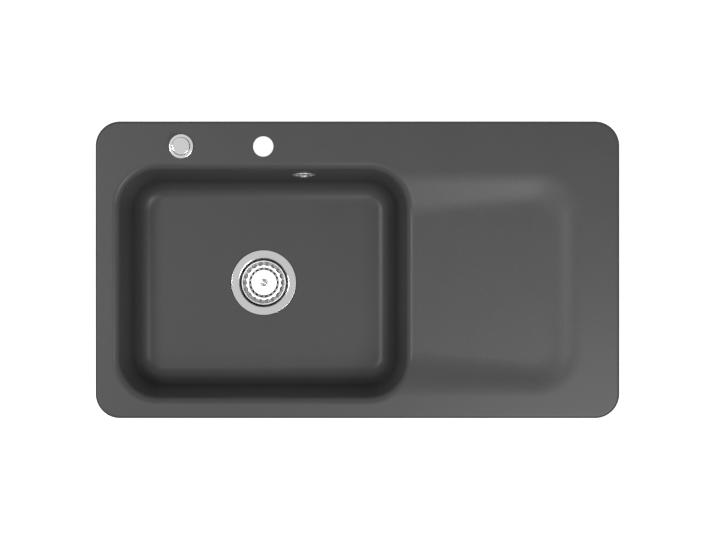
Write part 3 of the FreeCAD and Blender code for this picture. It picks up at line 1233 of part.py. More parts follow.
# ---------------------------------------------------------------- build, check and write
make_sink_body()
make_control()
make_waste_flange()
make_waste_seals_and_screw()
make_waste_body()
make_lever()
make_basket()
make_overflow_inlet()
make_overflow_head()
make_overflow_pipes()
doc.recompute()

faults = [f"{item.Label}: {item.State}" for item in doc.Objects
          if "Invalid" in item.State or "Error" in item.State]
parts = [item for item in doc.Objects if item.TypeId == "PartDesign::Body" and item.Label != "drainer_space"]
for part in parts:
    shape = part.Shape
    if shape.isNull() or not shape.isValid() or len(shape.Solids) != 1:
        faults.append(f"{part.Label}: not one valid solid")
if faults:
    raise RuntimeError("\n".join(faults))
os.makedirs("parts", exist_ok=True)
for part in parts:
    part.Shape.exportStep(f"parts/{part.Label}.step")
print(len(parts), "parts written")
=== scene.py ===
"""Looks of an inset composite sink with a recessed drainboard and a rotary pop-up strainer waste.

The surfaces are worked out with numpy in millimetres and put into meshes in metres, in the frame
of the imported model: origin at the centre of the rim at worktop level, +Y to the tap deck, +Z up.
"""
import json
import math
import types

import bmesh
import bpy
import numpy as np
from mathutils import Matrix, Vector


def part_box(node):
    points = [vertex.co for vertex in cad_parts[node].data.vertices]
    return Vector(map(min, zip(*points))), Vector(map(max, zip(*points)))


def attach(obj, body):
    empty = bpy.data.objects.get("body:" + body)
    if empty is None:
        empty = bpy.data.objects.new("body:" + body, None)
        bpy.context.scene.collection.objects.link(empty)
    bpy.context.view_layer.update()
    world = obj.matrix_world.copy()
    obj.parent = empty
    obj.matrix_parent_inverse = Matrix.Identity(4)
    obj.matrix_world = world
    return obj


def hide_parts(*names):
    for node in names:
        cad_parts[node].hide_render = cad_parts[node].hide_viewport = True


bl_info = {
    "name": "Composite sink",
    "version": (1, 0, 0),
    "blender": (4, 5, 0),
    "location": "View3D > Sidebar > Sink",
    "description": "Builds the surfaces, finishes and stage of an inset kitchen sink",
    "category": "Add Mesh",
}

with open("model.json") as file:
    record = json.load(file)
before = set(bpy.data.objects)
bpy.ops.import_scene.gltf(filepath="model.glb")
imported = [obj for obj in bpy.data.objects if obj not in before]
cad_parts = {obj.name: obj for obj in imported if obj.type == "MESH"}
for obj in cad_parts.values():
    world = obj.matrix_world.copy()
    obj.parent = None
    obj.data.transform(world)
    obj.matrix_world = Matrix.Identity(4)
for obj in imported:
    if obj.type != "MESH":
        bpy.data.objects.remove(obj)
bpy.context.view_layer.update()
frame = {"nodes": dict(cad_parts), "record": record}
MM = 0.001


def node_box(name):
    """Lowest and highest corner of a node of the frame, in millimetres."""
    low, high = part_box(name)
    return np.array(low) / MM, np.array(high) / MM


def node_middle(name):
    low, high = node_box(name)
    return (low + high) / 2


SINK_LOW, SINK_HIGH = node_box("sink_body")
WASTE = node_middle("waste_lower_seal")
FLANGE_LOW, FLANGE_HIGH = node_box("waste_flange")
BASKET_LOW, BASKET_HIGH = node_box("strainer_basket")
CONTROL = node_middle("control_deck_seal")
ROSETTE = node_middle("overflow_seal")
RISER = node_middle("overflow_riser")
BRANCH_TURN = math.atan2(RISER[1] - WASTE[1], RISER[0] - WASTE[0])
AXIS = 0.001  # radius in millimetres at which a turned profile closes on its axis
CRISP = 0.0005  # rounding in millimetres of a corner that looks sharp

# The stage, in metres: the floor's level and half its width, and the camera above the sink.
FLOOR_LEVEL = -0.62
FLOOR_REACH = 2.2
CAMERA_SPOT = (0.00086, -0.00034, 8.01)
CAMERA_LENS = 234.2  # focal length in millimetres on a sensor 36 mm wide

# Place in metres, edge length in metres and power in watts of the two square lamps.
LAMPS = {
    "front_lamp": ((0.57, -0.63, 1.96), 0.81, 25.7),
    "left_lamp": ((-1.45, 0.07, 3.80), 0.65, 57.2),
}

# Strengths of the sky on matt surfaces, of the sky as seen, and of the floor's glow as seen.
SKY_ON_MATT = 0.25
SKY_SEEN = 1.0
FLOOR_GLOW = 0.84


# ---------------------------------------------------------------- sizes and colours
def length(name, default, description):
    """A length in metres whose default is given in millimetres."""
    return bpy.props.FloatProperty(name=name, default=default * MM, description=description,
                                   unit="LENGTH", precision=4)


def colour(name, default, description):
    return bpy.props.FloatVectorProperty(name=name, default=default, size=3, subtype="COLOR",
                                         min=0.0, max=1.0, description=description)


class SinkMouldingSizes(bpy.types.PropertyGroup):
    """Sizes of the moulded sink."""
    rim_corner: length("Rim corner", 42, "Outer corner radius of the rim")
    edge_round: length("Edge rounding", 4, "Rounding along the rim's top edge")
    overlap: length("Overlap", 15, "Width of the rim that rests on the worktop")
    deck_drop: length("Deck drop", 2, "How far the deck hangs into the cut-out")
    bowl_x: length("Bowl across", -162.3, "Middle of the bowl, across")
    bowl_y: length("Bowl depthwise", -23.5, "Middle of the bowl, front to rear")
    bowl_length: length("Bowl length", 492, "Length of the bowl's mouth before rounding")
    bowl_width: length("Bowl width", 390, "Width of the bowl's mouth before rounding")
    bowl_corner: length("Bowl corner", 66, "Corner radius of the bowl's mouth")
    bowl_floor: length("Bowl floor", 10, "Thickness of the bowl's floor")
    bowl_wall: length("Bowl wall", 9, "Thickness of the bowl's wall")
    rim_round: length("Mouth rounding", 15, "Rounding between deck and bowl wall")
    floor_round: length("Floor rounding", 32, "Rounding between bowl wall and floor")
    bowl_draft: bpy.props.FloatProperty(name="Wall lean", default=math.radians(6), subtype="ANGLE",
                                        description="Lean of the bowl's walls")
    drainer_rear: length("Recess rear", 155, "Rear edge of the drainboard recess")
    drainer_front: length("Recess front", -203, "Front edge of the drainboard recess")
    drainer_right: length("Recess right", 372, "Right edge of the drainboard recess")
    drainer_corner: length("Recess corner", 70, "Corner radius of the drainboard recess")
    drainer_depth: length("Recess depth", 11, "Depth of the recess beside the bowl")
    drainer_far_depth: length("Recess far depth", 5, "Depth of the recess at its right edge")
    drainer_round: length("Recess blend", 150, "Radius that blends the recess into the deck")
    drainer_wall: length("Recess wall", 9, "Thickness under the drainboard")
    drainer_slope: bpy.props.FloatProperty(name="Recess slope", default=math.radians(12), subtype="ANGLE",
                                           description="Steepness of the recess's sides")
    hole: length("Deck hole", 35, "Diameter of the two holes in the deck")
    waste_hole: length("Waste hole", 90, "Diameter of the hole in the bowl floor")
    recess_gap: length("Recess gap", 1.2, "Gap round the waste flange")
    recess_depth: length("Waste recess", 3, "Depth of the waste flange's recess")
    overflow_hole: length("Overflow hole", 28, "Diameter of the overflow hole")
    overflow_drop: length("Overflow drop", 60, "Overflow below the rim")
    tap_x: length("Tap hole across", -162, "Tap hole, across")
    tap_y: length("Tap hole depthwise", 212, "Tap hole, front to rear")
    hole_chamfer: length("Hole chamfer", 0.6, "Chamfer round a deck hole")
    shell_lean: bpy.props.FloatProperty(name="Shell lean", default=math.radians(30), subtype="ANGLE",
                                        description="Lean of the shell under the drainboard")
    rays: bpy.props.IntProperty(name="Rays", default=600, min=64, description="Mesh columns round the bowl")
    deck_rows: bpy.props.IntProperty(name="Deck rows", default=72, min=8,
                                     description="Mesh rows over the deck")


class StrainerSizes(bpy.types.PropertyGroup):
    """Sizes of the pressed steel strainer."""
    cup_bore: length("Cup bore", 84, "Inner diameter of the cup")
    cup_opening: length("Cup opening", 54, "Opening in the cup's floor")
    sheet: length("Flange sheet", 1.2, "Thickness of the flange and cup")
    mouth_round: length("Mouth rounding", 2.6, "Rounding of the cup's mouth")
    basket_sheet: length("Basket sheet", 0.9, "Thickness of the basket")
    lip: length("Basket lip", 1.3, "Width of the basket's rim")
    step_outer: length("Step outside", 31.6, "Outer radius of the basket's step")
    step_inner: length("Step inside", 26.8, "Inner radius of the basket's step")
    floor_radius: length("Floor radius", 22.2, "Radius of the basket's floor")
    lower_height: length("Lower height", 10, "Height from the floor to the step")
    upper_height: length("Upper height", 14, "Height from the step to the rim")
    boss_radius: length("Boss radius", 16.8, "Raised middle of the basket's floor")
    boss_height: length("Boss height", 0.5, "Height of the raised middle")
    upper_at: length("Upper holes at", 33.1, "Radius on which the upper holes lie")
    upper_width: length("Upper hole width", 6.6, "Upper hole, measured outwards")
    upper_length: length("Upper hole length", 8.4, "Upper hole, measured round the basket")
    lower_at: length("Lower holes at", 24.0, "Radius on which the lower holes lie")
    lower_width: length("Lower hole width", 3.2, "Lower hole, measured outwards")
    lower_length: length("Lower hole length", 5.6, "Lower hole, measured round the basket")
    holes: bpy.props.IntProperty(name="Holes", default=18, min=3, description="Holes in each row")
    hub: length("Hub", 18, "Diameter of the hub in the cup's floor")
    hub_bore: length("Hub bore", 10.12, "Bore of the hub for the fixing screw")
    spoke: length("Spoke", 6, "Width of the hub's spokes")
    stud_shank: length("Stud shank", 9, "Diameter of the stud's shank")
    stud_rim: length("Stud rim", 1.5, "Width of the stud's rim")
    stud_dish: length("Stud dish", 0.8, "Depth of the dish in the stud")
    stud_dot: length("Stud dot", 3, "Radius of the dot in the dish")
    socket: length("Pin socket", 6.6, "Bore for the lift pin")


class ControlSizes(bpy.types.PropertyGroup):
    """Sizes of the pop-up control on the deck."""
    ring_height: length("Ring height", 5, "Height of the fixed ring")
    ring_plate: length("Ring plate", 1.5, "Thickness of the plate inside the ring")
    edge_round: length("Ring rounding", 1.5, "Rounding of the ring's top outer edge")
    knob_gap: length("Knob gap", 0.6, "Gap between knob and ring")
    knob_round: length("Knob rounding", 1.2, "Rounding of the knob's top edge")
    knob_wall: length("Knob wall", 2, "Thickness of the knob's skirt")
    knob_roof: length("Knob roof", 3, "Thickness of the knob's top")
    knob_hub: length("Knob hub", 14, "Diameter of the hub inside the knob")
    spindle: length("Spindle", 8, "Diameter of the spindle in the knob's hub")
    flutes: bpy.props.IntProperty(name="Flutes", default=20, min=3, description="Grip flutes round the knob")
    flute_radius: length("Flute radius", 0.9, "Radius of one grip flute")
    flute_share: bpy.props.FloatProperty(name="Flute share", default=0.8, subtype="FACTOR", min=0.1, max=1.0,
                                         description="Share of the knob's height that the flutes take")
    guide: length("Guide length", 14, "Length of the spindle's guide below the ring")
    guide_bore: length("Guide bore", 4.06, "Radius of the spindle's guide")
    stem: length("Stem", 33, "Diameter of the stem")
    stem_bore: length("Stem bore", 27, "Bore of the stem")


class InletSizes(bpy.types.PropertyGroup):
    """Sizes of the overflow rosette and its screw."""
    rosette: length("Rosette", 40, "Diameter of the rosette")
    rise: length("Rosette rise", 3.6, "Height of the rosette's dome")
    sheet: length("Rosette sheet", 1.2, "Thickness of the rosette")
    slots: bpy.props.IntProperty(name="Slots", default=10, min=3, description="Inlet slots in the rosette")
    slot_at: length("Slots at", 13.4, "Radius on which the slots lie")
    slot_width: length("Slot width", 2.6, "Slot, measured outwards")
    slot_length: length("Slot length", 5.0, "Slot, measured round the rosette")
    head: length("Screw head", 16, "Diameter of the screw's head")
    head_dome: length("Head dome", 2.6, "Height of the screw's head")
    shank: length("Screw shank", 5, "Diameter of the screw's shank")
    screw_length: length("Screw length", 23, "Screw behind the wall's face")


class FittingSizes(bpy.types.PropertyGroup):
    """Sizes of the outlet's thread."""
    outlet: length("Outlet", 47.8, "Crest diameter of the outlet's thread")
    outlet_length: length("Outlet length", 20, "Length of the outlet")
    pitch: length("Pitch", 2.309, "Pitch of the outlet's thread")
    thread_depth: length("Thread depth", 1.1, "Depth of the outlet's thread")


class SinkColours(bpy.types.PropertyGroup):
    """Colours of the finishes."""
    composite: colour("Composite", (0.050, 0.0505, 0.0515), "Dark quartz composite")
    fleck: colour("Fleck", (0.105, 0.105, 0.108), "Lighter quartz grains in the composite")
    steel: colour("Brushed steel", (0.55, 0.552, 0.55), "Flange and cup")
    polished: colour("Polished steel", (0.74, 0.74, 0.74), "Strainer basket")
    stud: colour("Turned steel", (0.60, 0.60, 0.60), "Stud of the strainer")
    chrome: colour("Satin chrome", (0.62, 0.623, 0.626), "Control ring")
    chrome_knob: colour("Knob chrome", (0.59, 0.592, 0.595), "Turning knob")
    brass: colour("Brass", (0.66, 0.50, 0.24), "Control spindle")
    rubber: colour("Rubber", (0.022, 0.022, 0.023), "Seals")
    pipe: colour("Pipe plastic", (0.62, 0.62, 0.60), "Waste body and overflow pipes")
    nut: colour("Nut plastic", (0.50, 0.50, 0.49), "Slip nuts and back nut")
    black: colour("Black plastic", (0.028, 0.028, 0.030), "Drive housing, glands and crank")
    acetal: colour("Acetal", (0.72, 0.72, 0.69), "Lever, lift pin and carriage")
    floor: colour("Floor", (0.86, 0.86, 0.86), "Stage floor")


# ---------------------------------------------------------------- shader maths
class Wire:
    """A socket of a node tree: the signs + - and * between it and a value add Math nodes."""

    def __init__(self, finish, socket):
        self.finish = finish
        self.socket = socket

    def math(self, operation, *others):
        inputs = dict(enumerate((self,) + others))
        return self.finish.wire("ShaderNodeMath", dict(operation=operation), inputs)

    def __add__(self, other):
        return self.math("ADD", other)

    def __sub__(self, other):
        return self.math("SUBTRACT", other)

    def __mul__(self, other):
        return self.math("MULTIPLY", other)

    def __radd__(self, other):
        return self + other

    def __rmul__(self, other):
        return self * other

    def __rsub__(self, other):
        return self.finish.wire("ShaderNodeMath", dict(operation="SUBTRACT"), {0: other, 1: self})


class Finish:
    """A material or world in the making: one method adds any node with its settings and inputs."""

    def __init__(self, name, kind=bpy.data.materials):
        self.made = kind.new(name)
        self.made.use_nodes = True
        self.tree = self.made.node_tree
        self.tree.nodes.clear()
        self.place = None

    def node(self, kind, settings=None, inputs=None):
        node = self.tree.nodes.new(kind)
        for name, setting in (settings or {}).items():
            if name == "stops":
                for number, (at, shade) in enumerate(setting):
                    ramp = node.color_ramp.elements
                    stop = ramp[number] if number < len(ramp) else ramp.new(at)
                    stop.position = at
                    stop.color = (shade, shade, shade, 1.0)
            else:
                setattr(node, name, setting)
        for name, value in (inputs or {}).items():
            socket = self.find(node.inputs, name)
            if isinstance(value, Wire):
                self.tree.links.new(value.socket, socket)
            elif hasattr(value, "__len__") and len(value) == 3 and socket.type == "RGBA":
                socket.default_value = (*value, 1.0)
            else:
                socket.default_value = value
        return node

    @staticmethod
    def find(sockets, name):
        if isinstance(name, int):
            return sockets[name]
        matches = [socket for socket in sockets if socket.identifier == name]
        return matches[0] if matches else sockets[name]

    def wire(self, kind, settings=None, inputs=None, output=0):
        return Wire(self, self.find(self.node(kind, settings, inputs).outputs, output))

    def where(self):
        """Object coordinates, the same for every node of the material."""
        if self.place is None:
            self.place = self.wire("ShaderNodeTexCoord", output="Object")
        return self.place

    def noise(self, scale, detail=2.0, roughness=0.5, at=None):
        return self.wire("ShaderNodeTexNoise", dict(noise_dimensions="3D"),
                         {"Vector": at or self.where(), "Scale": scale, "Detail": detail,
                          "Roughness": roughness}, "Fac")

    def seen(self):
        """1 for rays of the camera, mirrors and glass, 0 for all others."""
        path = self.node("ShaderNodeLightPath")
        seen = Wire(self, path.outputs["Is Camera Ray"])
        for ray in ("Is Glossy Ray", "Is Transmission Ray"):
            seen = seen.math("MAXIMUM", Wire(self, path.outputs[ray]))
        return seen

    def ramp(self, value, *stops):
        return self.wire("ShaderNodeValToRGB", dict(stops=stops), {"Fac": value}, "Color")

    def blend(self, factor, first, second):
        return self.wire("ShaderNodeMix", dict(data_type="RGBA"),
                         {"Factor_Float": factor, "A_Color": first, "B_Color": second}, "Result_Color")

    def bump(self, height, strength, distance):
        return self.wire("ShaderNodeBump", None,
                         {"Height": height, "Strength": strength, "Distance": distance}, "Normal")

    def done(self, **sockets):
        """The surface shader: names with underscores stand for the sockets' names."""
        inputs = {name.replace("_", " "): value for name, value in sockets.items()}
        surface = self.wire("ShaderNodeBsdfPrincipled", None, inputs, "BSDF")
        self.node("ShaderNodeOutputMaterial", None, {"Surface": surface})
        return self.made


def around(finish, middle):
    """Distance from an upright axis through the point, in metres."""
    moved = finish.wire("ShaderNodeVectorMath", dict(operation="SUBTRACT"),
                        {0: finish.where(), 1: (middle[0] * MM, middle[1] * MM, 0.0)}, "Vector")
    flat = finish.wire("ShaderNodeVectorMath", dict(operation="MULTIPLY"),
                       {0: moved, 1: (1.0, 1.0, 0.0)}, "Vector")
    return finish.wire("ShaderNodeVectorMath", dict(operation="LENGTH"), {0: flat}, "Value")


def composite_finish(name, colours):
    """Satin quartz composite: fine light and dark grains, a slow mottle and a pebbled skin."""
    f = Finish(name)
    grains = f.ramp(f.noise(1500.0, 1.0), (0.52, 0.0), (0.72, 1.0))
    pores = f.ramp(f.noise(1100.0, 2.0, 0.6), (0.36, 1.0), (0.46, 0.0))
    mottle = f.noise(16.0, 3.0)
    base = f.blend(grains * 0.55, tuple(colours.composite), tuple(colours.fleck))
    base = f.blend(pores * 0.45, base, tuple(channel * 0.55 for channel in colours.composite))
    base = f.blend(mottle * 0.10, base, tuple(colours.fleck))
    skin = f.bump(f.noise(900.0, 3.0, 0.6), 0.22, 0.0003)
    return f.done(Base_Color=base, Roughness=0.32 + 0.05 * mottle + 0.04 * grains, Normal=skin,
                  Specular_IOR_Level=0.2)


def turned_finish(name, shade, middle, roughness, painted_shade_below=None, lines=2600.0, depth=0.00004):
    """Steel turned about an upright axis: fine rings, a slow variation and faint handling marks.

    Below the given level, in millimetres, the steel is painted darker and duller: painted shade inside the
    cup.
    """
    f = Finish(name)
    radius = around(f, middle)
    along = f.wire("ShaderNodeCombineXYZ", None, {"X": radius * lines, "Y": 0.0, "Z": 0.0})
    rings = f.noise(1.0, 3.0, 0.7, along)
    clouds = f.noise(60.0, 3.0)
    scratches = f.ramp(f.noise(420.0, 4.0, 0.75), (0.60, 0.0), (0.68, 1.0))
    base = f.blend(rings * 0.6, tuple(shade), tuple(channel * 0.80 for channel in shade))
    gloss = roughness + 0.03 * rings + 0.02 * clouds + 0.015 * scratches
    if painted_shade_below is not None:
        # painted shade: the steel turns darker and duller below the level, inside the cup
        level = f.wire("ShaderNodeSeparateXYZ", None, {"Vector": f.where()}, "Z")
        painted_shade = f.ramp((painted_shade_below * MM - level) * 100.0, (0.0, 0.0), (0.5, 1.0))
        base = f.blend(painted_shade, base, tuple(channel * 0.42 for channel in shade))
        gloss = gloss + 0.22 * painted_shade
    return f.done(Base_Color=base, Metallic=1.0, Roughness=gloss, Normal=f.bump(rings, 0.15, depth))


def polished_finish(name, shade, roughness):
    """Pressed and polished metal with a soft ripple and fine wiping marks."""
    f = Finish(name)
    ripple = f.noise(160.0, 2.0)
    wiping = f.noise(900.0, 4.0, 0.7)
    base = f.blend(wiping * 0.35, tuple(shade), tuple(channel * 0.86 for channel in shade))
    return f.done(Base_Color=base, Metallic=1.0, Roughness=roughness + 0.04 * wiping,
                  Normal=f.bump(ripple, 0.05, 0.0002))


def moulded_finish(name, shade, roughness, grain=700.0, depth=0.00015):
    """Moulded plastic or rubber: eroded skin, slow colour drift, dull patches."""
    f = Finish(name)
    skin = f.noise(grain, 2.0, 0.6)
    drift = f.noise(22.0, 3.0)
    base = f.blend(drift * 0.4, tuple(shade), tuple(channel * 0.86 for channel in shade))
    base = f.blend(skin * 0.12, base, tuple(channel * 0.6 for channel in shade))
    return f.done(Base_Color=base, Roughness=roughness + 0.12 * drift, Normal=f.bump(skin, 0.25, depth))


def floor_finish(name, shade):
    """Pale matt floor that the camera and mirrors see brighter, with the object's shadow kept."""
    f = Finish(name)
    matt = f.wire("ShaderNodeBsdfDiffuse", None, {"Color": tuple(shade)}, "BSDF")
    glow = f.wire("ShaderNodeEmission", None,
                  {"Color": (1.0, 1.0, 1.0), "Strength": f.seen() * FLOOR_GLOW}, "Emission")
    both = f.wire("ShaderNodeAddShader", None, {0: matt, 1: glow}, "Shader")
    f.node("ShaderNodeOutputMaterial", None, {"Surface": both})
    return f.made


def finish_named(name):
    """The named finish in the scene's colours, made once."""
    colours = bpy.context.scene.sink_colours
    maker, *details = {
        "quartz_composite": (composite_finish, colours),
        # the flange's cup is painted darker and duller from 3 mm below its top: painted shade
        "turned_steel": (turned_finish, colours.steel, WASTE, 0.09, FLANGE_HIGH[2] - 3.0),
        "turned_stud": (turned_finish, colours.stud, WASTE, 0.08),
        "satin_chrome": (turned_finish, colours.chrome, CONTROL, 0.09),
        "knob_chrome": (turned_finish, colours.chrome_knob, CONTROL, 0.09),
        "turned_brass": (turned_finish, colours.brass, CONTROL, 0.32),
        "polished_steel": (polished_finish, colours.polished, 0.07),
        "turned_rod": (polished_finish, colours.steel, 0.28),
        "spring_steel": (polished_finish, colours.steel, 0.35),
        "seal_rubber": (moulded_finish, colours.rubber, 0.62),
        "pipe_plastic": (moulded_finish, colours.pipe, 0.42),
        "nut_plastic": (moulded_finish, colours.nut, 0.48),
        "black_plastic": (moulded_finish, colours.black, 0.40),
        "acetal": (moulded_finish, colours.acetal, 0.30),
        "stage_floor": (floor_finish, colours.floor),
    }[name]
    return bpy.data.materials.get(name) or maker(name, *details)


# ---------------------------------------------------------------- surfaces as whole arrays
def grid_quads(rows, columns, closed_rows=False):
    """Quads of a grid whose columns are closed.

    Quad (i, j) joins points (i, j), (i, j+1), (i+1, j+1) and (i+1, j); closed directions wrap round.
    """
    index = np.arange(rows * columns).reshape(rows, columns)
    right = np.roll(index, -1, axis=1)
    quads = np.stack([index, right, np.roll(right, -1, axis=0), np.roll(index, -1, axis=0)], axis=-1)
    return (quads if closed_rows else quads[:-1]).reshape(-1, 4)


def joined(parts):
    """The points and quads of several parts as one array of each."""
    starts = np.cumsum([0] + [len(points) for points, _ in parts[:-1]])
    return (np.concatenate([points for points, _ in parts]),
            np.concatenate([quads + start for (_, quads), start in zip(parts, starts)]))


def surface_mesh(name, grid, closed_rows=False, smooth_angle=32.0):
    """A mesh from a grid of points (rows, columns, 3) in millimetres, its columns closed.

    Seams, poles and folded rows are merged afterwards.
    """
    quads = grid_quads(*grid.shape[:2], closed_rows)
    return mesh_from(name, grid.reshape(-1, 3), quads, smooth_angle)


def mesh_from(name, points, faces, smooth_angle=32.0):
    """A clean mesh object at the origin from points in millimetres and quads."""
    mesh = bpy.data.meshes.new(name)
    mesh.vertices.add(len(points))
    mesh.vertices.foreach_set("co", (points * MM).astype(np.float32).ravel())
    mesh.loops.add(faces.size)
    mesh.loops.foreach_set("vertex_index", faces.ravel().astype(np.int32))
    mesh.polygons.add(len(faces))
    mesh.polygons.foreach_set("loop_start", np.arange(0, faces.size, 4, dtype=np.int32))
    mesh.update(calc_edges=True)
    mesh.validate()
    piece = bpy.data.objects.new(name, mesh)
    bpy.context.scene.collection.objects.link(piece)
    tidy(piece, smooth_angle)
    return piece


def tidy(piece, smooth_angle=32.0, merge=2e-6):
    """Merge doubles, drop folded faces, point the faces outwards and shade smooth up to an angle."""
    shape = bmesh.new()
    shape.from_mesh(piece.data)
    bmesh.ops.remove_doubles(shape, verts=shape.verts, dist=merge)
    bmesh.ops.dissolve_degenerate(shape, edges=shape.edges, dist=merge)
    bmesh.ops.recalc_face_normals(shape, faces=shape.faces)
    shape.to_mesh(piece.data)
    shape.free()
    piece.data.shade_smooth()
    piece.data.set_sharp_from_angle(angle=math.radians(smooth_angle))
    piece.data.update()


def even_shading(piece):
    """Normals that follow the large faces, so that flats between roundings look flat."""
    shading = piece.modifiers.new("even_shading", "WEIGHTED_NORMAL")
    shading.keep_sharp = True
    return piece


def turns(count, start=0.0):
    """Even angles of a whole turn."""
    return start + np.arange(count) * (2 * math.pi / count)


def spun(radius, angle, level):
    """Points (r cos a, r sin a, z) of a grid of radii at the angles of its columns."""
    x = radius * np.cos(angle)
    return np.stack([x, radius * np.sin(angle), np.broadcast_to(level, x.shape)], axis=-1)


def revolve(profile, count=160):
    """Grid of a profile (radius, level) turned about Z."""
    radius, level = np.asarray(profile, dtype=float).T
    return spun(radius[:, None], turns(count), level[:, None])


def turned_flat(x, y, angle):
    """Points (x cos a - y sin a, x sin a + y cos a)."""
    return np.stack([x * np.cos(angle) - y * np.sin(angle), x * np.sin(angle) + y * np.cos(angle)], axis=-1)


def softened(corners, steps=5):
    """An outline whose corners (x, y, rounding) are arcs.

    An arc starts and ends at rounding / tan(half the inner angle) from its corner; its points are
    weights sin((1 - t) a) / sin a and sin(t a) / sin a of its two ends, for a turn a.
    """
    corners = np.asarray(corners, dtype=float)
    spots, radii = corners[:, :2], corners[:, 2]
    before = np.roll(spots, 1, axis=0) - spots
    after = np.roll(spots, -1, axis=0) - spots
    before /= np.linalg.norm(before, axis=1, keepdims=True)
    after /= np.linalg.norm(after, axis=1, keepdims=True)
    inner = np.arccos(np.clip((before * after).sum(axis=1), -1, 1))
    bisector = before + after
    bisector /= np.linalg.norm(bisector, axis=1, keepdims=True)
    centre = spots + bisector * (radii / np.sin(inner / 2))[:, None]
    reach = (radii / np.tan(inner / 2))[:, None]
    first = (spots + before * reach - centre)[:, None]
    last = (spots + after * reach - centre)[:, None]
    turn = (math.pi - inner)[:, None, None]
    share = np.linspace(0, 1, steps)[None, :, None]
    arcs = (first * np.sin((1 - share) * turn) + last * np.sin(share * turn)) / np.sin(turn)
    flat = (centre[:, None] + arcs).reshape(-1, 2)
    return flat[np.linalg.norm(flat - np.roll(flat, 1, axis=0), axis=1) > 1e-6]


def placed(grid, spot, turn=None):
    """The grid turned by a 3x3 matrix and moved to a spot in millimetres."""
    return (grid if turn is None else grid @ np.asarray(turn).T) + np.asarray(spot)


def turning(name, corners, spot, count):
    """A turned piece from the corners (radius, level, rounding) of its profile."""
    grid = placed(revolve(softened(corners), count), spot)
    return even_shading(surface_mesh(name, grid, closed_rows=True))


def cell_edge(half_across, half_along, across_steps=12, along_steps=10):
    """Points round a rectangle from its lower left corner, counter-clockwise."""
    across = np.linspace(-1, 1, across_steps + 1)[:-1]
    along = np.linspace(-1, 1, along_steps + 1)[:-1]
    x = np.concatenate([across, np.ones(along_steps), -across, -np.ones(along_steps)])
    y = np.concatenate([-np.ones(across_steps), along, np.ones(across_steps), -along])
    return x * half_across, y * half_along


def pierced_band(inner, outer, hole_at, hole_width, hole_length, count, first_turn, rows=5):
    """A flat band between two radii with a slot in each sector, as points (x, y) and quads.

    A ray from the slot's middle to each point of the sector's edge leaves the slot where its
    distance from the slot's middle line is half the width; rows run from there to the edge.
    """
    angle, offset = cell_edge(math.pi / count, (outer - inner) / 2)
    radius = offset + (outer + inner) / 2
    edge = np.stack([radius * np.cos(angle), radius * np.sin(angle)], axis=-1)
    ray = edge - (hole_at, 0.0)
    ray /= np.linalg.norm(ray, axis=1, keepdims=True)
    half_straight = (hole_length - hole_width) / 2
    near, far = np.zeros(len(ray)), np.full(len(ray), hole_length)
    for _ in range(40):
        middle = (near + far) / 2
        x, y = (ray * middle[:, None]).T
        outside = np.hypot(x, y - np.clip(y, -half_straight, half_straight)) > hole_width / 2
        far = np.where(outside, middle, far)
        near = np.where(outside, near, middle)
    hole = (hole_at, 0.0) + ray * far[:, None]
    share = np.linspace(0, 1, rows)[:, None, None]
    cell = hole[None] * (1 - share) + edge[None] * share
    points = turned_flat(cell[..., 0], cell[..., 1], turns(count, first_turn)[:, None, None])
    columns = cell.shape[1]
    quads = grid_quads(rows, columns)[None, :, [0, 3, 2, 1]]
    quads = quads + (np.arange(count) * rows * columns)[:, None, None]
    return points.reshape(-1, 2), quads.reshape(-1, 4)


def plain_band(radii, count, first_turn, sides=12):
    """A flat band without holes whose columns meet those of a pierced band."""
    angle = turns(count * sides, first_turn - math.pi / count)
    points = spun(np.asarray(radii, dtype=float)[:, None], angle, 0.0)[..., :2]
    return points.reshape(-1, 2), grid_quads(*points.shape[:2])[:, [0, 3, 2, 1]]


def pressed_sheet(name, bands, profile, thickness, spot, turn=None):
    """A pressed sheet: flat bands lifted to the level that the profile has at their radius.

    Its faces point to the profile's upper side before the sheet gets its thickness below.
    """
    flat, quads = joined(bands)
    level = np.interp(np.hypot(*flat.T), *np.asarray(profile).T)
    piece = mesh_from(name, placed(np.column_stack([flat, level]), spot, turn), quads, 50.0)
    upwards = Vector((0, 0, 1) if turn is None else turn[:, 2])
    if sum((face.normal * face.area for face in piece.data.polygons), Vector()).dot(upwards) < 0:
        piece.data.flip_normals()
    wall = piece.modifiers.new("sheet", "SOLIDIFY")
    wall.thickness = thickness * MM
    wall.offset = -1.0
    wall.use_even_offset = True
    return even_shading(piece)


def open_profile(corners, steps=5):
    """Rounded corners of an open profile (radius, level, rounding) with rising radii."""
    first, last = corners[0], corners[-1]
    far = [(last[0] + 1, last[1] - 500, 0.01), (first[0] - 1, first[1] - 500, 0.01)]
    points = softened(list(corners) + far, steps)
    return points[(points[:, 1] > first[1] - 400)]


def stops(inner, outer, profile):
    """Radii from inner to outer that include the profile's own."""
    own = profile[(profile[:, 0] > inner + 0.05) & (profile[:, 0] < outer - 0.05), 0]
    even = np.linspace(inner, outer, 4)
    return np.unique(np.round(np.concatenate([own, even]), 4))


def cut_away(piece, tools):
    """Take closed tools out of a piece for good, then remove them."""
    for tool in tools:
        cut = piece.modifiers.new("cut", "BOOLEAN")
        cut.operation = "DIFFERENCE"
        cut.solver = "EXACT"
        cut.object = tool
    baked = bpy.data.meshes.new_from_object(piece.evaluated_get(bpy.context.evaluated_depsgraph_get()))
    piece.modifiers.clear()
    piece.data = baked
    for tool in tools:
        bpy.data.objects.remove(tool)
    tidy(piece)


# ---------------------------------------------------------------- pieces and the frame
BODY_OF = {node: body for body, nodes in frame["record"]["behaviour"]["bodies"].items() for node in nodes}


def seat(piece, node, finish):
    """The piece stands for a node: it has the named finish, rides with the node's body, and the node is
    hidden.
    """
    piece.data.materials.clear()
    piece.data.materials.append(finish_named(finish))
    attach(piece, BODY_OF[node])
    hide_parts(node)
    return piece


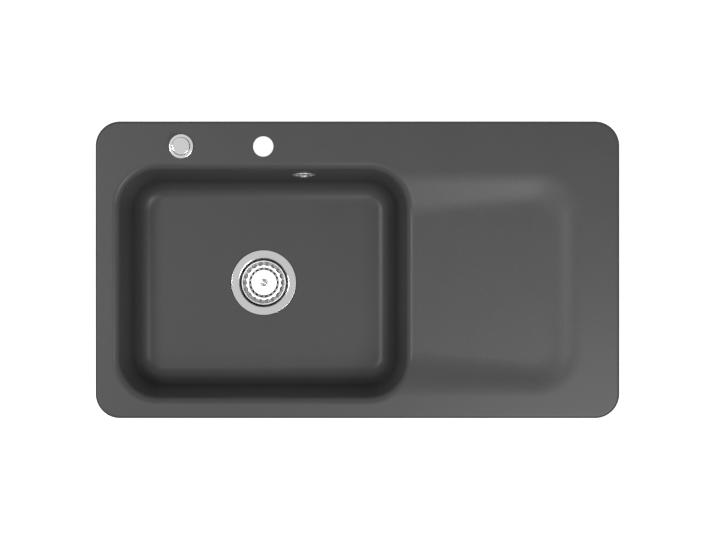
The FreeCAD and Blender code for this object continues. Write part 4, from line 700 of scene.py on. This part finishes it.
def refined_copy(node, finish, bevel=0.2, reshape=None):
    """A merged, smooth-shaded copy of a node's mesh with broken edges that stands for the node."""
    piece = bpy.data.objects.new(node + "_finished", frame["nodes"][node].data.copy())
    bpy.context.scene.collection.objects.link(piece)
    if reshape:
        points = np.empty(len(piece.data.vertices) * 3)
        piece.data.vertices.foreach_get("co", points)
        piece.data.vertices.foreach_set("co", (reshape(points.reshape(-1, 3) / MM) * MM).ravel())
    tidy(piece, 30.0, 1e-6)
    if bevel:
        edges = piece.modifiers.new("broken_edges", "BEVEL")
        edges.width = bevel * MM
        edges.segments = 2
        edges.limit_method = "ANGLE"
        edges.angle_limit = math.radians(50)
    return seat(even_shading(piece), node, finish)


def in_millimetres(group):
    """The group's lengths in millimetres and its other values as they are, by name."""
    values = {name: getattr(group, name) for name in group.bl_rna.properties.keys()
              if name not in ("rna_type", "name")}
    lengths = {name for name, prop in group.bl_rna.properties.items()
               if getattr(prop, "unit", "") == "LENGTH"}
    return types.SimpleNamespace(**{name: value / MM if name in lengths else value
                                    for name, value in values.items()})


# ---------------------------------------------------------------- moulded sink
def outline_distance(x, y, low, high, corner):
    """Distance outside a rounded rectangle, negative inside."""
    across = np.abs(x - (low[0] + high[0]) / 2) - (high[0] - low[0]) / 2 + corner
    along = np.abs(y - (low[1] + high[1]) / 2) - (high[1] - low[1]) / 2 + corner
    outside = np.hypot(np.maximum(across, 0), np.maximum(along, 0))
    return outside + np.minimum(np.maximum(across, along), 0) - corner


def reach_along(rays, centre, outline, offset):
    """How far each ray runs from the centre to an outline moved outwards by the offset.

    The distance grows along every ray, so halving the stretch finds where it equals the offset;
    offset may be one number, a row per ray or a column of rows.
    """
    offset = np.asarray(offset, dtype=float)
    shape = np.broadcast_shapes(offset.shape, (len(rays),))
    near, far = np.zeros(shape), np.full(shape, 1000.0)
    for _ in range(44):
        middle = (near + far) / 2
        outside = outline_distance(centre[0] + rays[:, 0] * middle, centre[1] + rays[:, 1] * middle,
                                   *outline) > offset
        far = np.where(outside, middle, far)
        near = np.where(outside, near, middle)
    return (near + far) / 2


def spread_rays(count, centre, outlines):
    """Unit rays whose spacing shares out the length and the turning of all the outlines."""
    fine = turns(7200)
    rays = np.column_stack([np.cos(fine), np.sin(fine)])
    weight = np.full(len(fine), 1.0 / len(fine))
    for outline in outlines:
        reach = reach_along(rays, centre, outline, 0.0)
        point = rays * reach[:, None]
        step = np.roll(point, -1, axis=0) - point
        run = np.hypot(*step.T)
        heading = np.arctan2(*step.T[::-1])
        bend = np.abs(np.angle(np.exp(1j * (np.roll(heading, -1) - heading))))
        bend = np.convolve(np.tile(bend, 3), np.ones(25) / 25, "same")[len(fine):2 * len(fine)]
        weight = weight + run / run.sum() + 1.4 * bend / bend.sum()
    share = np.concatenate([[0.0], np.cumsum(weight)]) / weight.sum()
    angle = np.interp(np.arange(count) / count, share, np.concatenate([fine, [2 * math.pi]]))
    return np.column_stack([np.cos(angle), np.sin(angle)])


def soft_low(first, second, reach):
    """The lower of two levels, blended by a parabola where they are closer than reach."""
    near = np.maximum(reach - np.abs(first - second), 0) / reach
    return np.minimum(first, second) - near ** 2 * reach / 4


def deck_level(x, y, size):
    """Level of the deck: the flat rim, and in the recess the higher of its leaning side and its
    falling floor, each blended into the next by a parabola as flat as the blend's radius."""
    mouth_right = size.bowl_x + size.bowl_length / 2
    left = mouth_right - 1.5 * size.drainer_corner
    inside = -outline_distance(x, y, (left, size.drainer_front), (size.drainer_right, size.drainer_rear),
                               size.drainer_corner)
    lean = math.tan(size.drainer_slope)
    side = SINK_HIGH[2] - inside * lean
    fall = (size.drainer_depth - size.drainer_far_depth) / (size.drainer_right - mouth_right)
    floor = SINK_HIGH[2] - size.drainer_depth + (x - mouth_right) * fall
    reach = size.drainer_round * lean ** 2 / 2
    return soft_low(SINK_HIGH[2], -soft_low(-side, -floor, reach), reach)


def sink_surface(size):
    """Grid of the moulding: rings of points on rays from the bowl's middle.

    The rings run up the rim's edge, in over the deck, round the mouth, down the wall, round the
    foot, over the floor to the waste recess, through the waste opening, and back on the underside.
    """
    centre = np.array([size.bowl_x, size.bowl_y])
    top = SINK_HIGH[2]
    floor = SINK_LOW[2] + size.bowl_floor
    lean = math.tan(size.bowl_draft)
    steep = math.pi / 2 - size.bowl_draft
    half_bowl = np.array([size.bowl_length, size.bowl_width]) / 2
    rim = (SINK_LOW[:2], SINK_HIGH[:2], size.rim_corner)
    bowl = (centre - half_bowl, centre + half_bowl, size.bowl_corner)
    rays = spread_rays(size.rays, centre, (rim, bowl))
    rows = []

    def add(outline, offset, level, least=None):
        reach = reach_along(rays, centre, outline, offset)
        reach = reach if least is None else np.maximum(reach, reach_along(rays, centre, bowl, least))
        flat = centre + rays * reach[..., None]
        rows.append(np.dstack([np.atleast_3d(flat).reshape(-1, len(rays), 2),
                               np.broadcast_to(level, reach.shape).reshape(-1, len(rays))]))

    def foot(level, radius, shift, steps):
        """Offsets and levels of the arc between a flat at the level and the leaning wall."""
        middle = level + radius
        turn = np.linspace(steep, 0, steps)
        wall = (middle - top) * lean + shift - radius / math.cos(size.bowl_draft)
        return (wall + radius * np.sin(turn))[:, None], (middle - radius * np.cos(turn))[:, None]

    add(rim, 0.0, 0.0)
    edge_turn = np.linspace(0, math.pi / 2, 7)[:, None]
    add(rim, -size.edge_round * (1 - np.cos(edge_turn)), top - size.edge_round * (1 - np.sin(edge_turn)))

    shift = size.rim_round / math.cos(size.bowl_draft) - size.rim_round * lean
    mouth_level = np.full(len(rays), top)
    for _ in range(3):
        mouth = reach_along(rays, centre, bowl, (mouth_level - top) * lean + shift)
        mouth_level = deck_level(*(centre + rays * mouth[:, None]).T, size)
    start = reach_along(rays, centre, rim, -size.edge_round)
    share = np.linspace(0, 1, size.deck_rows)[1:-1, None]
    reach = start * (1 - share) + mouth * share
    flat = centre + rays * reach[..., None]
    rows.append(np.dstack([flat, deck_level(flat[..., 0], flat[..., 1], size)]))

    mouth_turn = np.linspace(0, steep, 14)[:, None]
    drop = size.rim_round * (1 - np.cos(mouth_turn))
    add(bowl, (mouth_level - top) * lean + shift - size.rim_round * np.sin(mouth_turn), mouth_level - drop)

    foot_offsets, foot_levels = foot(floor, size.floor_round, 0.0, 13)
    wall_share = np.linspace(0, 1, 7)[1:-1, None]
    wall_level = (mouth_level - drop[-1]) * (1 - wall_share) + foot_levels[0] * wall_share
    add(bowl, (wall_level - top) * lean, wall_level)
    add(bowl, foot_offsets, foot_levels)

    recess = WASTE[:2] + rays * ((FLANGE_HIGH[0] - FLANGE_LOW[0]) / 2 + size.recess_gap)
    last = rows[-1][-1][:, :2]
    inwards = np.linspace(0, 1, 18)[1:, None, None]
    rows.append(np.dstack([last * (1 - inwards) + recess * inwards,
                           np.full((len(inwards), len(rays)), floor)]))
    waste = WASTE[:2] + rays * size.waste_hole / 2
    for spots, level in ((recess, floor - 0.3 * size.recess_depth), (recess, floor - size.recess_depth),
                         (waste, floor - size.recess_depth), (waste, SINK_LOW[2])):
        rows.append(np.column_stack([spots, np.full(len(rays), level)])[None])

    outside = size.bowl_wall / math.cos(size.bowl_draft)
    under_offsets, under_levels = foot(SINK_LOW[2], size.floor_round + size.bowl_wall / 2, outside, 9)
    add(bowl, under_offsets[::-1], under_levels[::-1])
    shell_foot = top - size.drainer_depth - size.drainer_wall
    add(bowl, (shell_foot - top) * lean + outside, shell_foot)
    shell_low = (size.bowl_x, size.drainer_front - size.drainer_wall)
    shell_high = (size.drainer_right + size.drainer_wall, size.drainer_rear + size.drainer_wall)
    shell = (shell_low, shell_high, size.drainer_corner + size.drainer_wall)
    for level in (shell_foot, -size.deck_drop):
        add(shell, level * math.tan(size.shell_lean), level, (level - top) * lean + outside)
    for level in (-size.deck_drop, 0.0):
        add(rim, -size.overlap, level)
    return np.concatenate(rows)


def deck_hole(spot, radius, size):
    """Closed tool for a deck hole with a narrow chamfer at its top."""
    top = SINK_HIGH[2]
    profile = [(0, top + 2), (radius + size.hole_chamfer + 2, top + 2), (radius, top - size.hole_chamfer),
               (radius, -3 * size.deck_drop), (0, -3 * size.deck_drop)]
    return surface_mesh("deck_hole", placed(revolve(profile, 128), (*spot, 0.0)), closed_rows=True)


def wall_frame(size):
    """Place and turn of the overflow on the leaning rear wall: its Z axis points into the bowl."""
    level = SINK_HIGH[2] - size.overflow_drop
    rear = size.bowl_y + size.bowl_width / 2 + (level - SINK_HIGH[2]) * math.tan(size.bowl_draft)
    turn = Matrix.Rotation(math.pi / 2 - size.bowl_draft, 3, "X")
    return (ROSETTE[0], rear, level), np.array(turn)


class SINK_OT_moulding(bpy.types.Operator):
    """Mould the rim, deck, bowl and recessed drainboard in one piece"""
    bl_idname = "sink.moulding"
    bl_label = "Sink moulding"

    def execute(self, context):
        size = in_millimetres(context.scene.sink_sizes)
        piece = surface_mesh("sink_moulding", sink_surface(size), closed_rows=True, smooth_angle=28.0)
        spot, turn = wall_frame(size)
        overflow = [(0, 4 * size.bowl_wall), (size.overflow_hole / 2, 4 * size.bowl_wall),
                    (size.overflow_hole / 2, -4 * size.bowl_wall), (0, -4 * size.bowl_wall)]
        tap = (size.tap_x, size.tap_y)
        cut_away(piece, [deck_hole(tap, size.hole / 2, size), deck_hole(CONTROL[:2], size.hole / 2, size),
                         surface_mesh("wall_hole", placed(revolve(overflow, 96), spot, turn),
                                      closed_rows=True)])
        seat(piece, "sink_body", "quartz_composite")
        return {"FINISHED"}


# ---------------------------------------------------------------- steel strainer
def steel_spoke(inner, outer, width, low, high, angle):
    """Eight corners and six quads of a bar from a hub outwards."""
    x = np.array([inner, outer, outer, inner] * 2)
    y = np.array([-width, -width, width, width] * 2) / 2
    z = np.repeat([low, high], 4)
    points = np.column_stack([turned_flat(x, y, angle), z])
    quads = np.array([[3, 2, 1, 0], [4, 5, 6, 7], [0, 1, 5, 4], [1, 2, 6, 5], [2, 3, 7, 6], [3, 0, 4, 7]])
    return points, quads


class SINK_OT_waste_flange(bpy.types.Operator):
    """Press the steel flange and cup, with its spoked hub"""
    bl_idname = "sink.waste_flange"
    bl_label = "Waste flange"

    def execute(self, context):
        size = in_millimetres(context.scene.strainer_sizes)
        outer = (FLANGE_HIGH[0] - FLANGE_LOW[0]) / 2
        top, floor_foot = FLANGE_HIGH[2], FLANGE_LOW[2]
        floor = floor_foot + size.sheet
        bore = size.cup_bore / 2
        opening = size.cup_opening / 2
        cup = softened([
            (outer, top, 0.4 * size.sheet), (bore, top, size.mouth_round), (bore, floor, 4 * size.sheet),
            (opening, floor, 0.3), (opening, floor_foot, 0.3),
            (bore + size.sheet, floor_foot, 5 * size.sheet), (bore + size.sheet, top - size.sheet, 0.8),
            (outer, top - size.sheet, 0.4 * size.sheet)], 7)
        hub = softened([(size.hub / 2, floor, 0.2), (size.hub_bore / 2, floor, 0.2),
                        (size.hub_bore / 2, floor_foot, 0.2), (size.hub / 2, floor_foot, 0.2)], 3)
        parts = []
        for profile, columns in ((cup, 216), (hub, 72)):
            grid = placed(revolve(profile, columns), (*WASTE[:2], 0.0))
            parts.append((grid.reshape(-1, 3), grid_quads(len(profile), columns, closed_rows=True)))
        for angle in turns(3, BRANCH_TURN):
            points, quads = steel_spoke(size.hub / 4, opening + 1, size.spoke, floor_foot, floor, angle)
            parts.append((placed(points, (*WASTE[:2], 0.0)), quads))
        seat(even_shading(mesh_from("waste_flange_pressing", *joined(parts))), "waste_flange", "turned_steel")
        return {"FINISHED"}


class SINK_OT_strainer(bpy.types.Operator):
    """Press the strainer basket with its two rows of holes, and turn its stud and plug seal"""
    bl_idname = "sink.strainer"
    bl_label = "Strainer basket"

    def execute(self, context):
        size = in_millimetres(context.scene.strainer_sizes)
        spot = (*WASTE[:2], 0.0)
        rim = BASKET_HIGH[2]
        step = rim - size.upper_height
        floor = step - size.lower_height
        boss = floor + size.boss_height
        outer = (BASKET_HIGH[0] - BASKET_LOW[0]) / 2
        profile = open_profile([
            (size.stud_shank / 2, boss, 0.01), (size.boss_radius, boss, 0.4),
            (size.boss_radius + size.boss_height, floor, 0.4), (size.floor_radius, floor, 1.2),
            (size.step_inner, step, 0.9), (size.step_outer, step, 1.1), (outer - size.lip, rim, 0.7),
            (outer, rim, 0.01)], 7)
        rows = [(size.lower_at, size.lower_width, size.lower_length, 0.9),
                (size.upper_at, size.upper_width, size.upper_length, 0.6)]
        bands = []
        inner = size.stud_shank / 2
        for hole_at, width, around_it, margin in rows:
            low, high = hole_at - width / 2 - margin, hole_at + width / 2 + margin
            bands.append(plain_band(stops(inner, low, profile), size.holes, 0.0))
            bands.append(pierced_band(low, high, hole_at, width, around_it, size.holes, 0.0, 6))
            inner = high
        bands.append(plain_band(stops(inner, outer, profile), size.holes, 0.0))
        basket = pressed_sheet("strainer_pressing", bands, profile, size.basket_sheet, spot)
        seat(basket, "strainer_basket", "polished_steel")

        low, high = node_box("basket_stud")
        cap = (high[0] - low[0]) / 2
        socket = size.socket / 2
        stud = turning("strainer_stud", [
            (cap, high[2], 0.5), (cap - size.stud_rim, high[2], 0.4),
            (size.stud_dot + 0.8, high[2] - size.stud_dish, 0.4),
            (size.stud_dot + 0.2, high[2] - size.stud_dish, 0.2), (size.stud_dot, high[2] - 0.1, 0.3),
            (AXIS, high[2], CRISP), (AXIS, high[2] - 1.5, CRISP),
            (socket, high[2] - 1.6, 0.2), (socket, low[2], 0.1), (size.stud_shank / 2, low[2], 0.1),
            (size.stud_shank / 2, boss, 0.1), (cap, boss, 0.3)], spot, count=96)
        seat(stud, "basket_stud", "turned_stud")
        refined_copy("basket_plug_seal", "seal_rubber", 0.15)
        return {"FINISHED"}


# ---------------------------------------------------------------- pop-up control
def fluted(profile, radius, flutes, flute_radius, low, high):
    """Grid of a turned profile whose outer wall has grip flutes.

    Within a flute the wall lies at r cos d - sqrt(f^2 - (r sin d)^2) for the angle d from its
    middle; the cut runs out towards the flute's upper end.
    """
    steps = np.radians([-8.0, -5.8, -4.3, -3.42, -3.0, -2.2, -1.1, 0.0, 1.1, 2.2, 3.0, 3.42, 4.3, 5.8])
    angle = (turns(flutes)[:, None] + steps).ravel()
    across = radius * np.sin(np.tile(steps, flutes))
    depth = radius - radius * np.cos(np.tile(steps, flutes))
    depth = depth + np.sqrt(np.maximum(flute_radius ** 2 - across ** 2, 0))
    depth = np.where(np.abs(across) < flute_radius, depth, 0.0)
    level = profile[:, 1][:, None]
    run_out = np.clip((high - level) / (2 * flute_radius), 0, 1) * (level > low - 0.01)
    on_wall = profile[:, 0][:, None] > radius - 0.35
    at = profile[:, 0][:, None] - depth * run_out * on_wall
    return spun(at, angle, level)


class SINK_OT_control(bpy.types.Operator):
    """Turn the fixed ring and the fluted knob of the pop-up control, and finish what holds it"""
    bl_idname = "sink.control"
    bl_label = "Deck control"

    def execute(self, context):
        size = in_millimetres(context.scene.control_sizes)
        low, high = node_box("control_ring")
        spot = (*CONTROL[:2], 0.0)
        ring = (high[0] - low[0]) / 2
        foot = high[2] - size.ring_height
        well = foot + size.ring_plate
        knob_low, knob_high = node_box("control_knob")
        knob = (knob_high[0] - knob_low[0]) / 2
        fixed = turning("control_ring_turned", [
            (ring, foot, 0.3), (ring, high[2], size.edge_round), (knob + size.knob_gap, high[2], 0.5),
            (knob + size.knob_gap, well, 0.9), (size.guide_bore, well, 0.1),
            (size.guide_bore, foot - size.guide, 0.1),
            (size.guide_bore + 4, foot - size.guide, 0.3), (size.guide_bore + 4, foot, 0.5),
            (size.stem_bore / 2, foot, 0.5), (size.stem_bore / 2, low[2], 0.4),
            (size.stem / 2, low[2], 0.6), (size.stem / 2, foot, 0.2)], spot, count=192)
        seat(fixed, "control_ring", "satin_chrome")

        skirt = knob - size.knob_wall
        roof = knob_high[2] - size.knob_roof
        bore, hub = size.spindle / 2, size.knob_hub / 2
        corners = softened([
            (knob, knob_low[2], 0.3), (knob, knob_high[2], size.knob_round), (AXIS, knob_high[2], CRISP),
            (AXIS, roof, CRISP), (bore, roof, CRISP), (bore, knob_low[2], 0.1), (hub, knob_low[2], 0.3),
            (hub, roof, 0.8), (skirt, roof, 0.8), (skirt, knob_low[2], 0.3)], 6)
        wall = np.linspace(knob_low[2] + 0.6, knob_high[2] - size.knob_round - 0.2, 18)
        wall_points = np.column_stack([np.full(len(wall), knob), wall])
        profile = np.concatenate([corners[:6], wall_points, corners[6:]])
        flute_top = knob_low[2] + size.flute_share * (knob_high[2] - knob_low[2])
        grid = fluted(profile, knob, size.flutes, size.flute_radius, knob_low[2], flute_top)
        turned = even_shading(surface_mesh("control_knob_turned", placed(grid, spot), closed_rows=True))
        seat(turned, "control_knob", "knob_chrome")

        refined_copy("control_deck_seal", "seal_rubber")
        refined_copy("control_under_seal", "seal_rubber")
        refined_copy("control_backnut", "nut_plastic", 0.5)
        refined_copy("control_spindle", "turned_brass", 0.3)
        refined_copy("spindle_clip", "spring_steel", 0.1)
        return {"FINISHED"}


# ---------------------------------------------------------------- overflow inlet
class SINK_OT_overflow_inlet(bpy.types.Operator):
    """Press the overflow rosette with its slots and turn its screw"""
    bl_idname = "sink.overflow_inlet"
    bl_label = "Overflow inlet"

    def execute(self, context):
        size = in_millimetres(context.scene.inlet_sizes)
        spot, turn = wall_frame(in_millimetres(context.scene.sink_sizes))
        outer = size.rosette / 2
        flat = size.head / 2 + 1
        profile = open_profile([
            (size.shank / 2 + 0.1, size.rise, 0.01), (flat, size.rise, 2.5),
            (outer - 2.2, size.sheet + 0.5, 2.0), (outer, size.sheet, 0.01)], 8)
        low, high = size.slot_at - size.slot_width / 2 - 0.9, size.slot_at + size.slot_width / 2 + 0.9
        bands = [plain_band(stops(size.shank / 2 + 0.1, low, profile), size.slots, 0.0, 12),
                 pierced_band(low, high, size.slot_at, size.slot_width, size.slot_length, size.slots, 0.0),
                 plain_band(stops(high, outer, profile), size.slots, 0.0, 12)]
        rosette = pressed_sheet("overflow_rosette_pressing", bands, profile, size.sheet, spot, turn)
        seat(rosette, "overflow_rosette", "polished_steel")

        top = size.rise + size.head_dome
        dome = np.linspace(0, 1, 9)
        head = np.column_stack([AXIS + (size.head / 2 - 0.3) * np.sin(dome * math.pi / 2),
                                size.rise + 0.3 + (size.head_dome - 0.3) * np.cos(dome * math.pi / 2)])
        rest = [(size.head / 2, size.rise + 0.3), (size.head / 2 - 0.2, size.rise),
                (size.shank / 2, size.rise), (size.shank / 2, -size.screw_length), (AXIS, -size.screw_length)]
        grid = placed(revolve(np.concatenate([head, rest]), 96), spot, turn)
        screw = surface_mesh("rosette_screw_turned", grid, closed_rows=True)
        points, quads = steel_spoke(-size.head, size.head, 1.3, top - 1.1, top + 2, math.pi / 2)
        cut_away(screw, [mesh_from("driver_slot", placed(points, spot, turn), quads)])
        seat(screw, "rosette_screw", "polished_steel")
        refined_copy("overflow_seal", "seal_rubber")
        return {"FINISHED"}


# ---------------------------------------------------------------- fittings under the sink
def thread_sleeve(name, spot, crest, root, low, high, pitch):
    """Closed sleeve with a helical thread between two levels.

    Its outer radius is a rounded triangle wave of level / pitch minus angle / turn, from root to
    crest, and fades to the root over half a pitch at both ends; its inner radius is plain.
    """
    columns = 120
    rows = int((high - low) / pitch * 10)
    angle = turns(columns)
    level = np.linspace(low, high, rows)[:, None]
    phase = (level / pitch - angle / (2 * math.pi)) % 1.0
    tooth = np.clip(1.5 * (1 - 2 * np.abs(phase - 0.5)) - 0.2, 0, 1)
    fade = np.clip(np.minimum(level - low, high - level) / (0.5 * pitch), 0, 1)
    radius = root + (crest - root) * tooth * fade
    inside = spun(np.full((2, columns), root - 0.6), angle, np.array([[high], [low]]))
    grid = np.concatenate([spun(radius, angle, level), inside])
    return surface_mesh(name, placed(grid, spot), closed_rows=True)


class SINK_OT_waste_fittings(bpy.types.Operator):
    """Finish the waste body with its outlet thread, the fixing screw and the two flat seals"""
    bl_idname = "sink.waste_fittings"
    bl_label = "Waste fittings"

    def execute(self, context):
        size = in_millimetres(context.scene.fitting_sizes)
        low, _ = node_box("waste_body")
        crest = size.outlet / 2
        root = crest - size.thread_depth
        thread_top = low[2] + size.outlet_length - 1.5 * size.pitch

        def turn_down(points):
            """The outlet's outer wall drawn in to the root of its thread."""
            radius = np.hypot(points[:, 0] - WASTE[0], points[:, 1] - WASTE[1])
            wall = (np.abs(radius - crest) < 0.05) & (points[:, 2] < low[2] + size.outlet_length - 0.5)
            points[wall, :2] = WASTE[:2] + (points[wall, :2] - WASTE[:2]) * (root / crest)
            return points

        refined_copy("waste_body", "pipe_plastic", 0.4, turn_down)
        sleeve = thread_sleeve("outlet_thread", (*WASTE[:2], 0.0), crest, root,
                               low[2] + 0.6, thread_top, size.pitch)
        sleeve.data.materials.append(finish_named("pipe_plastic"))
        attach(sleeve, BODY_OF["waste_body"])
        refined_copy("waste_upper_seal", "seal_rubber")
        refined_copy("waste_lower_seal", "seal_rubber", 0.4)
        refined_copy("fixing_screw", "polished_steel", 0.2)
        return {"FINISHED"}


class SINK_OT_overflow_plumbing(bpy.types.Operator):
    """Finish the overflow head, pipes, elbow and their slip nuts and seals"""
    bl_idname = "sink.overflow_plumbing"
    bl_label = "Overflow plumbing"

    def execute(self, context):
        for node in ("overflow_head", "overflow_riser", "overflow_elbow", "overflow_cross_pipe"):
            refined_copy(node, "pipe_plastic", 0.3)
        for joint in ("head_slip", "elbow_upper_slip", "elbow_side_slip", "branch_slip"):
            refined_copy(joint + "_nut", "nut_plastic", 0.4)
            refined_copy(joint + "_seal", "seal_rubber", 0.15)
        return {"FINISHED"}


class SINK_OT_pull_drive(bpy.types.Operator):
    """Finish the drive under the control, the cable glands, and the lever that lifts the strainer"""
    bl_idname = "sink.pull_drive"
    bl_label = "Pull drive"

    def execute(self, context):
        for node in ("drive_housing", "housing_cap", "control_cable_gland", "lever_cable_gland",
                     "cable_crank"):
            refined_copy(node, "black_plastic", 0.4)
        for node in ("cable_carriage", "lift_lever", "lift_pin"):
            refined_copy(node, "acetal", 0.3)
        for node in ("lever_axle", "crank_nut"):
            refined_copy(node, "turned_rod", 0.2)
        refined_copy("axle_seal", "seal_rubber", 0.15)
        return {"FINISHED"}


# ---------------------------------------------------------------- stage
def area_lamp(name, spot, size, power):
    """A square lamp that points at the sink and that the camera doesn't see."""
    lamp = bpy.data.lights.new(name, "AREA")
    lamp.energy = power
    lamp.size = size
    holder = bpy.data.objects.new(name, lamp)
    bpy.context.scene.collection.objects.link(holder)
    holder.location = spot
    holder.rotation_euler = (-Vector(spot)).to_track_quat("-Z", "Y").to_euler()
    holder.visible_camera = False


class SINK_OT_stage(bpy.types.Operator):
    """Lay the floor, hang the lamps, light the world and place the camera above the sink"""
    bl_idname = "sink.stage"
    bl_label = "Stage"

    def execute(self, context):
        scene = context.scene
        square = FLOOR_REACH * np.array([[-1, -1], [1, -1], [1, 1], [-1, 1]])
        corners = np.column_stack([square, np.full(4, FLOOR_LEVEL)])
        floor = mesh_from("studio_floor", corners / MM, np.array([[0, 1, 2, 3]]))
        floor.data.materials.append(finish_named("stage_floor"))
        for name, (spot, size, power) in LAMPS.items():
            area_lamp(name, spot, size, power)
        self.light_world(scene)

        camera = bpy.data.cameras.new("camera")
        camera.lens = CAMERA_LENS
        camera.sensor_width = 36.0
        camera.clip_end = 100.0
        holder = bpy.data.objects.new("camera", camera)
        scene.collection.objects.link(holder)
        holder.location = CAMERA_SPOT
        scene.camera = holder
        scene.view_settings.view_transform = "Standard"
        return {"FINISHED"}

    @staticmethod
    def light_world(scene):
        """White for the camera, mirrors and glass, and a plain grey sky for matt surfaces."""
        f = Finish("studio", bpy.data.worlds)
        sky, white = (f.wire("ShaderNodeBackground", None, {"Color": (1.0, 1.0, 1.0), "Strength": strength},
                             "Background") for strength in (SKY_ON_MATT, SKY_SEEN))
        both = f.wire("ShaderNodeMixShader", None, {0: f.seen(), 1: sky, 2: white}, "Shader")
        f.node("ShaderNodeOutputWorld", None, {"Surface": both})
        scene.world = f.made


# ---------------------------------------------------------------- panel and registration
PIECES = (SINK_OT_moulding, SINK_OT_waste_flange, SINK_OT_strainer, SINK_OT_control, SINK_OT_overflow_inlet,
          SINK_OT_waste_fittings, SINK_OT_overflow_plumbing, SINK_OT_pull_drive, SINK_OT_stage)
GROUPS = {"sink_sizes": SinkMouldingSizes, "strainer_sizes": StrainerSizes, "control_sizes": ControlSizes,
          "inlet_sizes": InletSizes, "fitting_sizes": FittingSizes, "sink_colours": SinkColours}


class SINK_PT_panel(bpy.types.Panel):
    """Lists the pieces of the sink, their sizes and their colours"""
    bl_idname = "SINK_PT_panel"
    bl_label = "Composite sink"
    bl_space_type = "VIEW_3D"
    bl_region_type = "UI"
    bl_category = "Sink"

    def draw(self, context):
        for piece in PIECES:
            self.layout.operator(piece.bl_idname)
        for group, kind in GROUPS.items():
            box = self.layout.box()
            for name in kind.__annotations__:
                box.prop(getattr(context.scene, group), name)


def register():
    for kind in (*GROUPS.values(), *PIECES, SINK_PT_panel):
        bpy.utils.register_class(kind)
    for group, kind in GROUPS.items():
        setattr(bpy.types.Scene, group, bpy.props.PointerProperty(type=kind))


def unregister():
    for group in GROUPS:
        delattr(bpy.types.Scene, group)
    for kind in reversed((*GROUPS.values(), *PIECES, SINK_PT_panel)):
        bpy.utils.unregister_class(kind)


def main():
    register()
    for piece in PIECES:
        group, name = piece.bl_idname.split(".")
        getattr(getattr(bpy.ops, group), name)()


if __name__ == "__main__":
    main()
